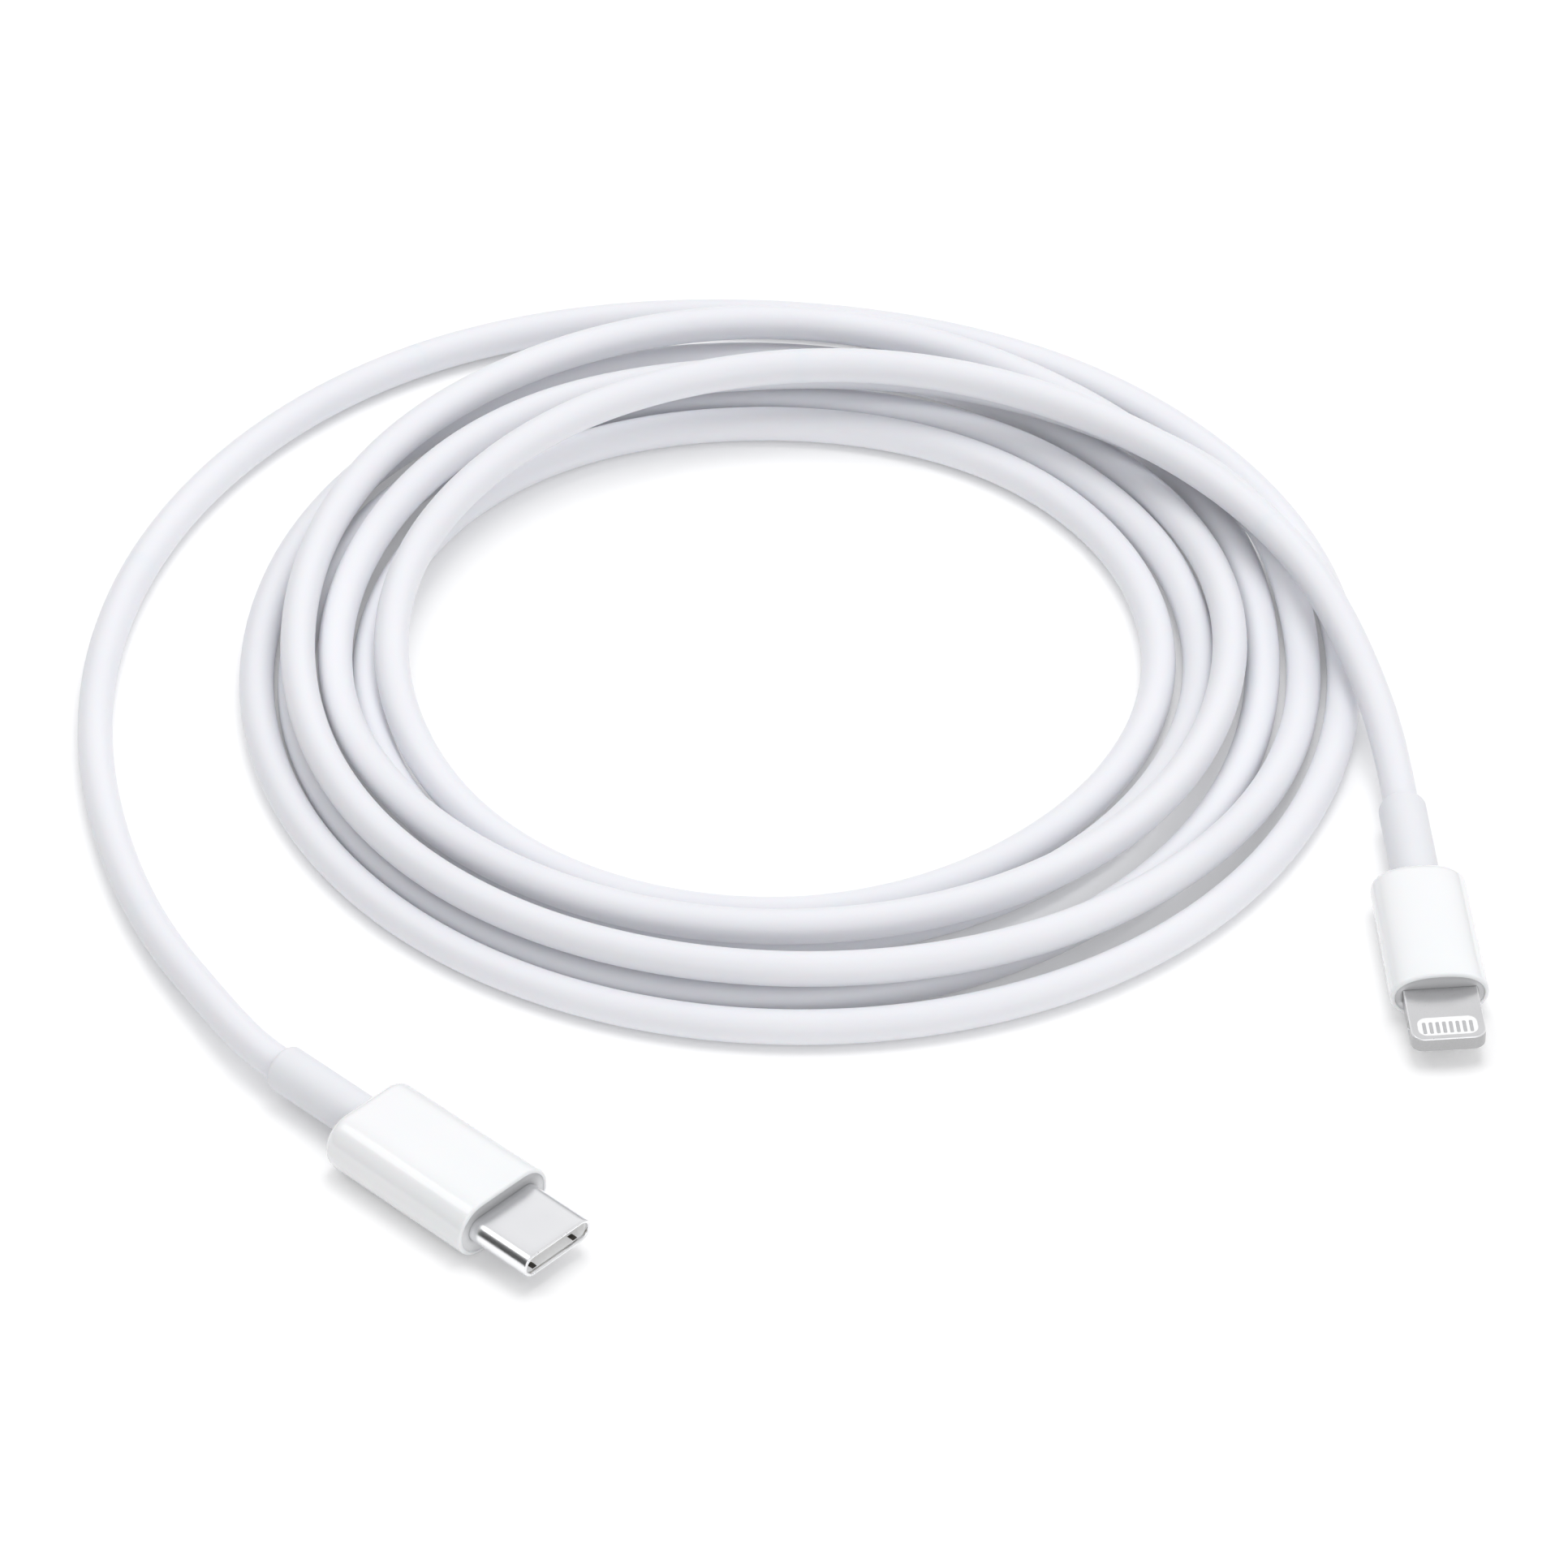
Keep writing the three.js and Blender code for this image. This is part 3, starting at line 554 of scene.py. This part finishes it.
def arc(start, end, steps=6):
    """Angles from start to end in degrees, both included, as radians."""
    return [math.radians(start + (end - start) * i / steps) for i in range(steps + 1)]


# ------------------------------------------------------------------ the plugs' own frames


class Plug:
    """A plug's frame: x runs forward from the sleeve's rear lip, y to its left and z up from its axis."""

    def __init__(self, prefix, joint, body, outline):
        self.prefix = prefix
        self.body = body
        self.outline = outline
        self.pivot = Vector(next(j["pos_m"] for j in frame["joints"] if j["name"] == joint))
        low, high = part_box(f"{prefix}_end_jacket")
        forward = (low + high) / 2 - self.pivot
        forward.z = 0
        self.forward = forward.normalized()
        self.left = UP.cross(self.forward)
        self.origin = self.pivot.copy()
        self.origin += self.forward * self.extent("sleeve")[0].x * MM
        self.turn = math.atan2(self.forward.y, self.forward.x)

    def extent(self, node):
        """Lowest and highest corner of a CAD node in the plug's frame, in mm."""
        points = []
        for vertex in frame["nodes"][f"{self.prefix}_{node}"].data.vertices:
            offset = vertex.co - self.origin
            points.append((offset.dot(self.forward), offset.dot(self.left), offset.z))
        points = np.array(points) / MM
        return Vector(points.min(0)), Vector(points.max(0))

    def at(self, x, y=0.0, z=0.0):
        return self.origin + (self.forward * x + self.left * y + UP * z) * MM

    def ring(self, x, outline):
        return [self.at(x, y, z) for y, z in outline]

    def circle(self, x, radius, sides=SLEEVE_SIDES):
        turns = [2 * math.pi * i / sides for i in range(sides)]
        return [self.at(x, radius * math.cos(t), radius * math.sin(t)) for t in turns]

    def name(self, piece):
        return f"{self.prefix}_{piece}"


# ------------------------------------------------------------------ the cable


def ring_centres(node, start):
    """Centres of a CAD cable jacket's rings, in order from the ring nearest to start."""
    mesh = frame["nodes"][node].data
    keys = {}
    merged = [keys.setdefault(tuple(round(c * 1e7) for c in v.co), len(keys)) for v in mesh.vertices]
    places = np.zeros((len(keys), 3))
    for vertex, index in zip(mesh.vertices, merged):
        places[index] = vertex.co
    neighbours = [set() for _ in places]
    for edge in mesh.edges:
        a, b = (merged[v] for v in edge.vertices)
        neighbours[a].add(b)
        neighbours[b].add(a)
    nearest = np.argsort(np.linalg.norm(places - np.array(start), axis=1))
    ring = set(int(i) for i in nearest[:CAD_RING_CORNERS])
    seen = set(ring)
    centres = []
    while ring:
        centres.append(places[sorted(ring)].mean(axis=0))
        ring = set().union(*(neighbours[i] for i in ring)) - seen
        seen |= ring
    return centres


class Run:
    """The cable's centre line as a smooth curve through given points, measured along its length."""

    def __init__(self, points):
        points = np.array(points)
        chords = np.linalg.norm(np.diff(points, axis=0), axis=1)
        self.knots = np.concatenate([[0], np.cumsum(chords)])
        self.points = points
        self.bends = self.solve(points, chords)

    def solve(self, points, gaps):
        """Second derivatives of the natural cubic spline through the points."""
        count = len(points)
        system = np.eye(count)
        target = np.zeros((count, 3))
        for i in range(1, count - 1):
            before, after = gaps[i - 1], gaps[i]
            system[i, i - 1 : i + 2] = before, 2 * (before + after), after
            rise = (points[i + 1] - points[i]) / after - (points[i] - points[i - 1]) / before
            target[i] = 6 * rise
        return np.linalg.solve(system, target)

    def at(self, place):
        i = int(np.clip(np.searchsorted(self.knots, place) - 1, 0, len(self.knots) - 2))
        gap = self.knots[i + 1] - self.knots[i]
        b = (place - self.knots[i]) / gap
        a = 1 - b
        bend = (a**3 - a) * self.bends[i] + (b**3 - b) * self.bends[i + 1]
        return Vector(a * self.points[i] + b * self.points[i + 1] + bend * gap**2 / 6)

    def heading(self, place):
        return (self.at(place + 0.05 * MM) - self.at(place - 0.05 * MM)).normalized()

    def nearest(self, point, start, end):
        places = np.linspace(start, end, 4000)
        gaps = [(self.at(p) - Vector(point)).length for p in places]
        return float(places[int(np.argmin(gaps))])

    def tube(self, start, end):
        """Rings of the cable from one place to another, each square to the run."""
        steps = max(2, round((end - start) / (RING_SPACING * MM)))
        loops = []
        for i in range(steps + 1):
            place = start + (end - start) * i / steps
            centre = self.at(place)
            heading = self.heading(place)
            side = heading.cross(UP).normalized()
            top = side.cross(heading)
            turns = [2 * math.pi * k / CABLE_SIDES for k in range(CABLE_SIDES)]
            radius = CABLE_RADIUS * MM
            loops.append([centre + (side * math.cos(t) + top * math.sin(t)) * radius for t in turns])
        return loft(loops)


def cable_run(usb, eight):
    """The whole centre line, from inside the USB-C sleeve to inside the other one."""
    joint = {j["name"]: Vector(j["pos_m"]) for j in frame["joints"]}
    points = [usb.at(x) for x in (CABLE_INSIDE_SLEEVE, CABLE_INSIDE_SLEEVE / 2, 1)]
    points += ring_centres("usb_c_lead_jacket", usb.pivot)
    points += ring_centres("usb_c_tail_jacket", joint["usb_c_lead_lift"])
    points += ring_centres("coil_jacket", joint["usb_c_tail_swing"])
    points += ring_centres("eight_pin_tail_jacket", joint["eight_pin_tail_lift"])
    points += [eight.at(x) for x in (1, CABLE_INSIDE_SLEEVE / 2, CABLE_INSIDE_SLEEVE)]
    return Run([list(p) for p in points])


def build_cable(usb, eight, material):
    """The jacket in six pieces, each crossing one joint and meeting the next in a body's middle."""
    run = cable_run(usb, eight)
    joint = {j["name"]: j["pos_m"] for j in frame["joints"]}
    total = float(run.knots[-1])
    near = SEARCH_REACH * MM
    usb_bend = run.nearest(usb.pivot, 0, near)
    lift = run.nearest(joint["usb_c_lead_lift"], usb_bend, near)
    swing = run.nearest(joint["usb_c_tail_swing"], lift, 2 * near)
    eight_bend = run.nearest(eight.pivot, total - near, total)
    tail_lift = run.nearest(joint["eight_pin_tail_lift"], total - near, eight_bend)
    reach = SEAM_REACH * MM
    lead_seam = (usb_bend + lift) / 2
    tail_seam = (lift + swing) / 2
    eight_seam = (tail_lift + eight_bend) / 2
    bends = [
        ("cable_usb_c_plug_bend", 0, lead_seam, usb_bend, PLUG_BEND_REACH,
         "usb_c_plug", "usb_c_lead", "usb_c_lead_jacket"),
        ("cable_usb_c_lead_bend", lead_seam, tail_seam, lift, BEND_REACH,
         "usb_c_lead", "usb_c_tail", "usb_c_tail_jacket"),
        ("cable_usb_c_tail_bend", tail_seam, swing + reach, swing, BEND_REACH,
         "usb_c_tail", "coil", "usb_c_tail_jacket"),
        ("cable_eight_pin_tail_bend", tail_lift - reach, eight_seam, tail_lift, BEND_REACH,
         "coil", "eight_pin_tail", "eight_pin_tail_jacket"),
        ("cable_eight_pin_plug_bend", eight_seam, total, eight_bend, PLUG_BEND_REACH,
         "eight_pin_tail", "eight_pin_plug", "eight_pin_tail_jacket"),
    ]
    finish_piece("cable_coil", run.tube(swing + reach, tail_lift - reach), material,
                 "coil", ["coil_jacket"])
    for name, start, end, pivot, spread, before, after, node in bends:
        piece = finish_piece(name, run.tube(start, end), material, None, [node])
        centre = run.at(pivot)
        heading = run.heading(pivot) * spread * MM
        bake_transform(piece)
    return run


# ------------------------------------------------------------------ pieces that both plugs have


def build_sleeve(plug, material):
    """The strain relief: a tube with a soft rear lip, a hair of clearance round the cable."""
    boot_rear = plug.extent("boot")[0].x
    radius = plug.extent("sleeve")[1].y
    bore = CABLE_RADIUS + SLEEVE_CLEARANCE
    front = boot_rear + SLEEVE_IN_BOOT
    skin = [(front, bore), (front, radius)]
    for x in (boot_rear - SLEEVE_BEHIND_BOOT, SLEEVE_MIDDLE, SLEEVE_LIP + 0.1):
        skin.append((x, radius))
    for t in arc(90, 200, 7):
        skin.append((SLEEVE_LIP * (1 + math.cos(t)), radius - SLEEVE_LIP * (1 - math.sin(t))))
    skin += [(x, bore + flare) for x, flare in SLEEVE_MOUTH]
    loops = [plug.circle(x, r) for x, r in skin]
    piece = loft(loops, closed=True, sharp=[0, 1])
    finish_piece(plug.name("strain_relief"), piece, material, plug.body, [plug.name("sleeve")])


def boot_profile(low, high):
    """The boot's skin, from its cable hole round the outside to inside its mouth, as (x, inset) pairs."""
    rear, front = low.x, high.x
    profile = []
    for t in arc(180, 90, 10):
        x = rear + BOOT_REAR_ROUNDING * (1 + math.cos(t))
        profile.append((x, BOOT_REAR_ROUNDING * (1 - math.sin(t))))
    for share in (0.2, 0.4, 0.6, 0.8):
        profile.append((rear + (front - rear) * share, 0))
    for t in arc(90, 0, 6):
        x = front - BOOT_FRONT_ROUNDING * (1 - math.cos(t))
        profile.append((x, BOOT_FRONT_ROUNDING * (1 - math.sin(t))))
    inner = BOOT_FRONT_ROUNDING + BOOT_RIM
    profile.append((front, inner - BOOT_INNER_CHAMFER))
    profile.append((front - BOOT_INNER_CHAMFER, inner))
    profile.append((front - BOOT_WALL_DEPTH, inner + BOOT_WALL_TAPER))
    return profile


def build_boot(plug, material):
    """The moulded grip: it swells slightly forward, is open in front, and its rounded rear end runs into
    the sleeve that it is moulded over."""
    low, high = plug.extent("boot")
    half_width, half_height = high.y, high.z
    rear, front = low.x, high.x
    grip = plug.extent("sleeve")[1].y - BOOT_BITE
    loops = []
    for x, inset in boot_profile(low, high):
        share = BOOT_DRAFT + (1 - BOOT_DRAFT) * max(0, min(1, (x - rear) / (front - rear)))
        outline = plug.outline(half_width * share - inset, max(half_height - inset, grip))
        loops.append(plug.ring(x, outline))
    hole = obround(grip, grip)
    cavity_end = front - BOOT_WALL_DEPTH - BOOT_CAVITY_END["length"]
    narrowed = obround(half_width * BOOT_CAVITY_END["share"], grip + BOOT_CAVITY_END["above_hole"])
    loops.append(plug.ring(cavity_end, narrowed))
    loops.append(plug.ring(rear + BOOT_HOLE_LENGTH, hole))
    loops.append(plug.ring(rear + BOOT_HOLE_DISH, hole))
    piece = loft(loops, closed=True)
    finish_piece(plug.name("grip"), piece, material, plug.body, [plug.name("boot")])


def build_mould(plug, opening, material):
    """The face inside the boot's mouth: a shallow dish that closes round the metal."""
    high = plug.extent("boot")[1]
    wall = BOOT_FRONT_ROUNDING + BOOT_RIM - MOULD_OVERLAP
    face = high.x - MOULD_RECESS
    rise = MOULD_RECESS - MOULD_EDGE_RECESS
    profile = [(face - MOULD_DEPTH, wall)]
    for t in arc(0, 90, 5):
        profile.append((face + rise * (1 - math.sin(t)), wall + MOULD_FILLET * (1 - math.cos(t))))
    loops = [plug.ring(x, plug.outline(high.y - inset, high.z - inset)) for x, inset in profile]
    held = opening(-MOULD_GROOVE["bite"])
    loops.append(plug.ring(face, opening(MOULD_GROOVE["width"])))
    loops.append(plug.ring(face - MOULD_GROOVE["depth"], held))
    loops.append(plug.ring(face - MOULD_DEPTH, held))
    piece = loft(loops, closed=True, sharp=[0, 1, len(loops) - 1])
    name = plug.name("mouth_face")
    finish_piece(name, piece, material, plug.body, [plug.name("inner_mould")])


# ------------------------------------------------------------------ USB-C metal


def build_shell(plug, material, rim_highlight):
    """The drawn shell: a thin obround tube whose mouth is folded back on itself and rounded over."""
    low, high = plug.extent("shell")
    half_width, half_height, tip = high.y, high.z, high.x
    rounding = SHELL_RIM_ROUNDING
    profile = [(low.x, SHELL_WALL), (low.x, 0)]
    for share in (0.25, 0.5, 0.75, 0.94):
        profile.append((low.x + (tip - low.x) * share, 0))
    for t in arc(90, 0, 6):
        profile.append((tip - rounding * (1 - math.cos(t)), rounding * (1 - math.sin(t))))
    for t in arc(0, -90, 5):
        inner = SHELL_FOLD - rounding
        profile.append((tip - rounding * (1 - math.cos(t)), inner - rounding * math.sin(t)))
    profile.append((tip - FOLD_LENGTH, SHELL_FOLD))
    profile.append((tip - FOLD_LENGTH - FOLD_TAPER, SHELL_WALL))
    loops = [plug.ring(x, obround(half_width - inset, half_height - inset)) for x, inset in profile]
    piece = finish_piece(plug.name("drawn_shell"), loft(loops, closed=True, sharp=[0, 1]), material,
                         plug.body, [plug.name("shell")])
    piece.data.materials.append(rim_highlight)
    # Faces in front of the mouth's rounding take the bright material: a painted highlight.
    mouth = plug.at(tip - rounding / 2)
    for face in piece.data.polygons:
        if (face.center - mouth).dot(plug.forward) > 0:
            face.material_index = 1


def build_liner(plug, material):
    """The plastic tube that lines the shell, with a chamfered mouth."""
    rear = plug.extent("contact_carrier")[0].x
    shell = plug.extent("shell")[1]
    tip = shell.x - FOLD_LENGTH - LINER_BACK
    half_width = shell.y - SHELL_WALL - LINER_GAP
    half_height = shell.z - SHELL_WALL - LINER_GAP
    profile = [(rear, LINER_WALL), (rear, 0), (tip, 0), (tip, LINER_EDGE)]
    profile.append((tip - LINER_CHAMFER, LINER_WALL))
    loops = [plug.ring(x, obround(half_width - inset, half_height - inset)) for x, inset in profile]
    piece = loft(loops, closed=True, sharp=[0, 1, 2])
    name = plug.name("mouth_liner")
    finish_piece(name, piece, material, plug.body, [plug.name("contact_carrier")])
    return half_height - LINER_WALL


def build_ground_springs(plug, inner_half, material):
    """Four small bowed springs just inside the mouth, two on its floor and two on its ceiling."""
    tip = plug.extent("shell")[1].x
    start = tip - SPRING_PAD["from"]
    length = SPRING_PAD["from"] - SPRING_PAD["to"]
    half = SPRING_PAD["half_width"]
    number = 0
    for up in (-1, 1):
        for side in (-1, 1):
            number += 1
            loops = []
            for i in range(SPRING_STEPS + 1):
                share = i / SPRING_STEPS
                bow = SPRING_END_SHARE + (1 - SPRING_END_SHARE) * math.sin(math.pi * share)
                base = inner_half + SPRING_PAD["sunk"]
                face = base - SPRING_PAD["height"] * bow
                y = side * SPRING_PAD["side"]
                corners = [(y - half, base), (y + half, base), (y + half, face), (y - half, face)]
                loops.append(plug.ring(start + length * share, [(a, up * b) for a, b in corners]))
            piece = finish_piece(plug.name(f"ground_spring_{number}"), loft(loops), material,
                                 plug.body, [])
            soften(piece, SPRING_ROUNDING)


# ------------------------------------------------------------------ flat plug metal


def tab_outline(low, high, inset, notch):
    """Plan outline of the tab as (x, y): square behind, rounded corners in front, a notch each side.

    Without a notch it has the same number of points, with the notch's circle moved clear of the tab.
    """
    half = high.y - inset
    rear, tip = low.x, high.x - inset
    corner = TAB_CORNER - inset
    centre = high.x - TAB_NOTCH["back"]
    radius = TAB_NOTCH["radius"]
    notch_depth = TAB_NOTCH["depth"] if notch else -3 * radius
    away = high.y + radius - notch_depth
    reach = radius + inset
    side = []
    for i in range(NOTCH_STEPS + 1):
        x = centre - reach + 2 * reach * i / NOTCH_STEPS
        gap = max(reach**2 - (x - centre) ** 2, 0)
        side.append((x, min(half, away - math.sqrt(gap))))
    right = [(rear, -half), (rear + (tip - rear) * 0.3, -half)]
    right += [(x, -y) for x, y in side]
    for t in arc(-90, 0, 8):
        right.append((tip - corner + corner * math.cos(t), -half + corner + corner * math.sin(t)))
    left = [(x, -y) for x, y in reversed(right)]
    return right + left


def build_tab(plug, material, edge, rim_highlight):
    """The steel tab: a plate with softly rounded edges and a notch let into each side's edge."""
    low, high = plug.extent("tab")
    rounding = TAB_EDGE_ROUNDING
    thick = high.z
    notch = TAB_NOTCH["half_height"]
    layers = []
    for t in arc(-90, 0, 5):
        layers.append((-thick + rounding * (1 + math.sin(t)), rounding * (1 - math.cos(t)), False))
    layers += [(-notch - TAB_NOTCH["slope"], 0, False), (-notch, 0, True)]
    layers += [(-z, inset, notched) for z, inset, notched in reversed(layers)]
    loops = []
    for z, inset, notched in layers:
        outline = tab_outline(low, high, inset, notched)
        loops.append([plug.at(x, y, z) for x, y in outline])
    name = plug.name("steel_tab")
    piece = finish_piece(name, loft(loops), material, plug.body, [plug.name("tab")])
    piece.data.materials.append(edge)
    piece.data.materials.append(rim_highlight)
    for face in piece.data.polygons:
        slope = abs(face.normal.z)
        # Faces that look sideways or forward take the darker edge material: painted shade.
        if slope < EDGE_SLOPE:
            face.material_index = 1
        # The rounding between edge and flat takes the bright material: a painted highlight.
        elif slope < FLAT_SLOPE:
            face.material_index = 2


def rounded_rectangle(x0, x1, half, corner, steps=8):
    """Plan outline of a rounded rectangle as (x, y), anticlockwise."""
    points = []
    for cx, cy, start in ((x1 - corner, half - corner, 0), (x0 + corner, half - corner, 90),
                          (x0 + corner, corner - half, 180), (x1 - corner, corner - half, 270)):
        for t in arc(start, start + 90, steps):
            points.append((cx + corner * math.cos(t), cy + corner * math.sin(t)))
    return points


def build_insert(plug, material):
    """The white insert: all but flush with the tab's faces, its edge softened into a fine groove."""
    low, high = plug.extent("insulator")
    top = plug.extent("tab")[1].z + INSERT["proud"]
    side = top - INSERT["edge_height"]
    edge = INSERT["edge"]
    loops = []
    for z, inset in ((-top, edge), (-side, 0), (side, 0), (top, edge)):
        corner = INSERT["corner"] - inset
        outline = rounded_rectangle(low.x + inset, high.x - inset, high.y - inset, corner)
        loops.append([plug.at(x, y, z) for x, y in outline])
    piece = loft(loops)
    name = plug.name("contact_insert")
    finish_piece(name, piece, material, plug.body, [plug.name("insulator")])
    return top


def build_pads(plug, top, material):
    """Contact pads, set into both faces of the insert and standing a hair proud."""
    for face, up in (("top", 1), ("bottom", -1)):
        for number in range(1, 9):
            node = f"contact_{face}_{number}"
            low, high = plug.extent(node)
            middle = (low.y + high.y) / 2
            loops = []
            for rise, inset in ((-PAD["sunk"], 0), (PAD["edge"], 0), (PAD["proud"], PAD["rounding"])):
                half = PAD["half_width"] - inset
                corner = PAD["corner"] - inset
                outline = rounded_rectangle(low.x + inset, high.x - inset, half, corner, 4)
                loops.append([plug.at(x, middle + y, up * (top + rise)) for x, y in outline])
            piece = loft(loops)
            finish_piece(plug.name(f"pad_{face}_{number}"), piece, material, plug.body,
                         [plug.name(node)])


# ------------------------------------------------------------------ CAD nodes that stay


def soften(piece, width):
    """Rounds a piece's sharp edges by a bevel of the given width, in mm."""
    bevel = piece.modifiers.new("soft_edges", "BEVEL")
    bevel.width = width * MM
    bevel.segments = 2
    bevel.limit_method = "ANGLE"
    bevel.angle_limit = math.radians(40)


def dress_frame(materials):
    """Gives every CAD node that is still shown its own finish, by the part of its name."""
    finishes = [
        ("_core", "braid", 0),
        ("_end_jacket", "jacket", 0),
        ("_shield_can", "can", 0),
        ("_board", "board", 0),
        ("_chip", "chip", 0.04),
        ("_power_wire", "red", 0),
        ("_ground_wire", "black", 0),
        ("_data_plus_wire", "green", 0),
        ("_data_minus_wire", "white", 0),
        ("_latch_", "spring", 0.03),
        ("_contact_", "beam", 0.02),
    ]
    for name, node in frame["nodes"].items():
        if node.hide_render:
            continue
        key, width = next((k, w) for part, k, w in finishes if part in name)
        node.data.materials.clear()
        node.data.materials.append(materials[key])
        if width:
            soften(node, width)


# ------------------------------------------------------------------ floor, light and camera


def build_floor():
    mesh = bpy.data.meshes.new("floor")
    half = FLOOR_HALF
    corners = [(-half, -half, 0), (half, -half, 0), (half, half, 0), (-half, half, 0)]
    mesh.from_pydata(corners, [], [(0, 1, 2, 3)])
    mesh.materials.append(floor_material())
    floor = bpy.data.objects.new("floor", mesh)
    floor.location.z = cad_low.z - FLOOR_GAP * MM
    bpy.context.scene.collection.objects.link(floor)


def build_world():
    """A white room, dark near the floor and brightest some forty degrees up.

    It has a dark card on the left for the metal to mirror.
    """
    world = bpy.data.worlds.new("studio")
    bpy.context.scene.world = world
    world.use_nodes = True
    tree = world.node_tree
    coords = tree.nodes.new("ShaderNodeTexCoord")
    parts = tree.nodes.new("ShaderNodeSeparateXYZ")
    ramp = tree.nodes.new("ShaderNodeValToRGB")
    tree.links.new(coords.outputs["Generated"], parts.inputs["Vector"])
    tree.links.new(parts.outputs["Z"], ramp.inputs["Fac"])
    stops = [(0.0, 0.1), (0.08, 0.12), (0.2, 0.5), (0.5, 0.86), (0.65, 1.0), (0.8, 0.76)]
    elements = ramp.color_ramp.elements
    while len(elements) < len(stops):
        elements.new(0.5)
    for element, (position, grey) in zip(elements, stops):
        element.position = position
        element.color = (grey, grey, grey * 1.01, 1)
    facing = tree.nodes.new("ShaderNodeVectorMath")
    facing.operation = "DOT_PRODUCT"
    facing.inputs[1].default_value = CARD_DIRECTION
    tree.links.new(coords.outputs["Generated"], facing.inputs[0])
    card = tree.nodes.new("ShaderNodeMapRange")
    card.interpolation_type = "SMOOTHSTEP"
    card.inputs["From Min"].default_value = CARD_EDGE
    card.inputs["From Max"].default_value = CARD_CORE
    card.inputs["To Min"].default_value = 1.0
    card.inputs["To Max"].default_value = CARD_GREY
    tree.links.new(facing.outputs["Value"], card.inputs["Value"])
    room = tree.nodes.new("ShaderNodeVectorMath")
    room.operation = "SCALE"
    tree.links.new(ramp.outputs["Color"], room.inputs["Vector"])
    tree.links.new(card.outputs["Result"], room.inputs["Scale"])
    background = tree.nodes["Background"]
    tree.links.new(room.outputs["Vector"], background.inputs["Color"])
    background.inputs["Strength"].default_value = ROOM_STRENGTH


def area_light(name, place, size, power, mirrored=True):
    """A round light aimed at the origin. One that isn't mirrored leaves flat metal grey from above."""
    light = bpy.data.lights.new(name, "AREA")
    light.shape = "DISK"
    light.size = size
    light.energy = power
    item = bpy.data.objects.new(name, light)
    item.location = place
    item.rotation_euler = (-Vector(place)).to_track_quat("-Z", "Y").to_euler()
    item.visible_glossy = mirrored
    bpy.context.scene.collection.objects.link(item)


def build_lights():
    area_light("top_softbox", (0.1, 0.25, 1.3), 0.8, 6.0, mirrored=False)
    area_light("left_softbox", (-0.65, 0.2, 1.1), 0.6, 1.5)
    area_light("front_fill", (0.3, -1.2, 0.5), 1.2, 2.3)


def to_camera():
    tilt = math.radians(CAMERA_ELEVATION)
    return Vector((0, -math.cos(tilt), math.sin(tilt)))


def build_camera():
    data = bpy.data.cameras.new("camera")
    data.lens = LENS_MM
    data.sensor_width = SENSOR_MM
    data.clip_start = 0.05
    camera = bpy.data.objects.new("camera", data)
    camera.location = AIM + to_camera() * CAMERA_DISTANCE
    camera.rotation_euler = (math.pi / 2 - math.radians(CAMERA_ELEVATION), 0, 0)
    bpy.context.scene.collection.objects.link(camera)
    bpy.context.scene.camera = camera


# ------------------------------------------------------------------ the scene


usb = Plug("usb_c", "usb_c_plug_bend", "usb_c_plug", obround)
eight = Plug("eight_pin", "eight_pin_plug_bend", "eight_pin_plug", oval)
jacket = jacket_material()
sleeve = sleeve_material()
boot = boot_material()
insulator = insulator_material()

build_cable(usb, eight, jacket)
for plug in (usb, eight):
    build_sleeve(plug, sleeve)
    build_boot(plug, boot)


def shell_opening(gap):
    high = usb.extent("shell")[1]
    return obround(high.y + gap, high.z + gap)


def tab_opening(gap):
    high = eight.extent("tab")[1]
    return obround(high.y + gap, high.z + gap, TAB_EDGE_ROUNDING + gap)


mould = mould_material()
build_mould(usb, shell_opening, mould)
build_mould(eight, tab_opening, mould)
rim_highlight = rim_highlight_material()
build_shell(usb, shell_material(usb.turn), rim_highlight)
mouth_half = build_liner(usb, insulator)
build_ground_springs(usb, mouth_half, spring_shade_material())
build_tab(eight, tab_material(eight.turn), tab_edge_shade_material(), rim_highlight)
insert_top = build_insert(eight, insulator)
build_pads(eight, insert_top, pad_material())
dress_frame({
    "braid": braid_material(),
    "jacket": jacket,
    "can": can_material(),
    "board": board_material(),
    "chip": chip_material(),
    "red": wire_material("red", (0.50, 0.03, 0.02)),
    "black": wire_material("black", (0.01, 0.01, 0.011)),
    "green": wire_material("green", (0.02, 0.22, 0.07)),
    "white": wire_material("white", (0.74, 0.74, 0.72)),
    "spring": spring_material(),
    "beam": beam_material(),
})
build_floor()
build_world()
build_lights()
build_camera()
bpy.context.scene.view_settings.view_transform = "Standard"
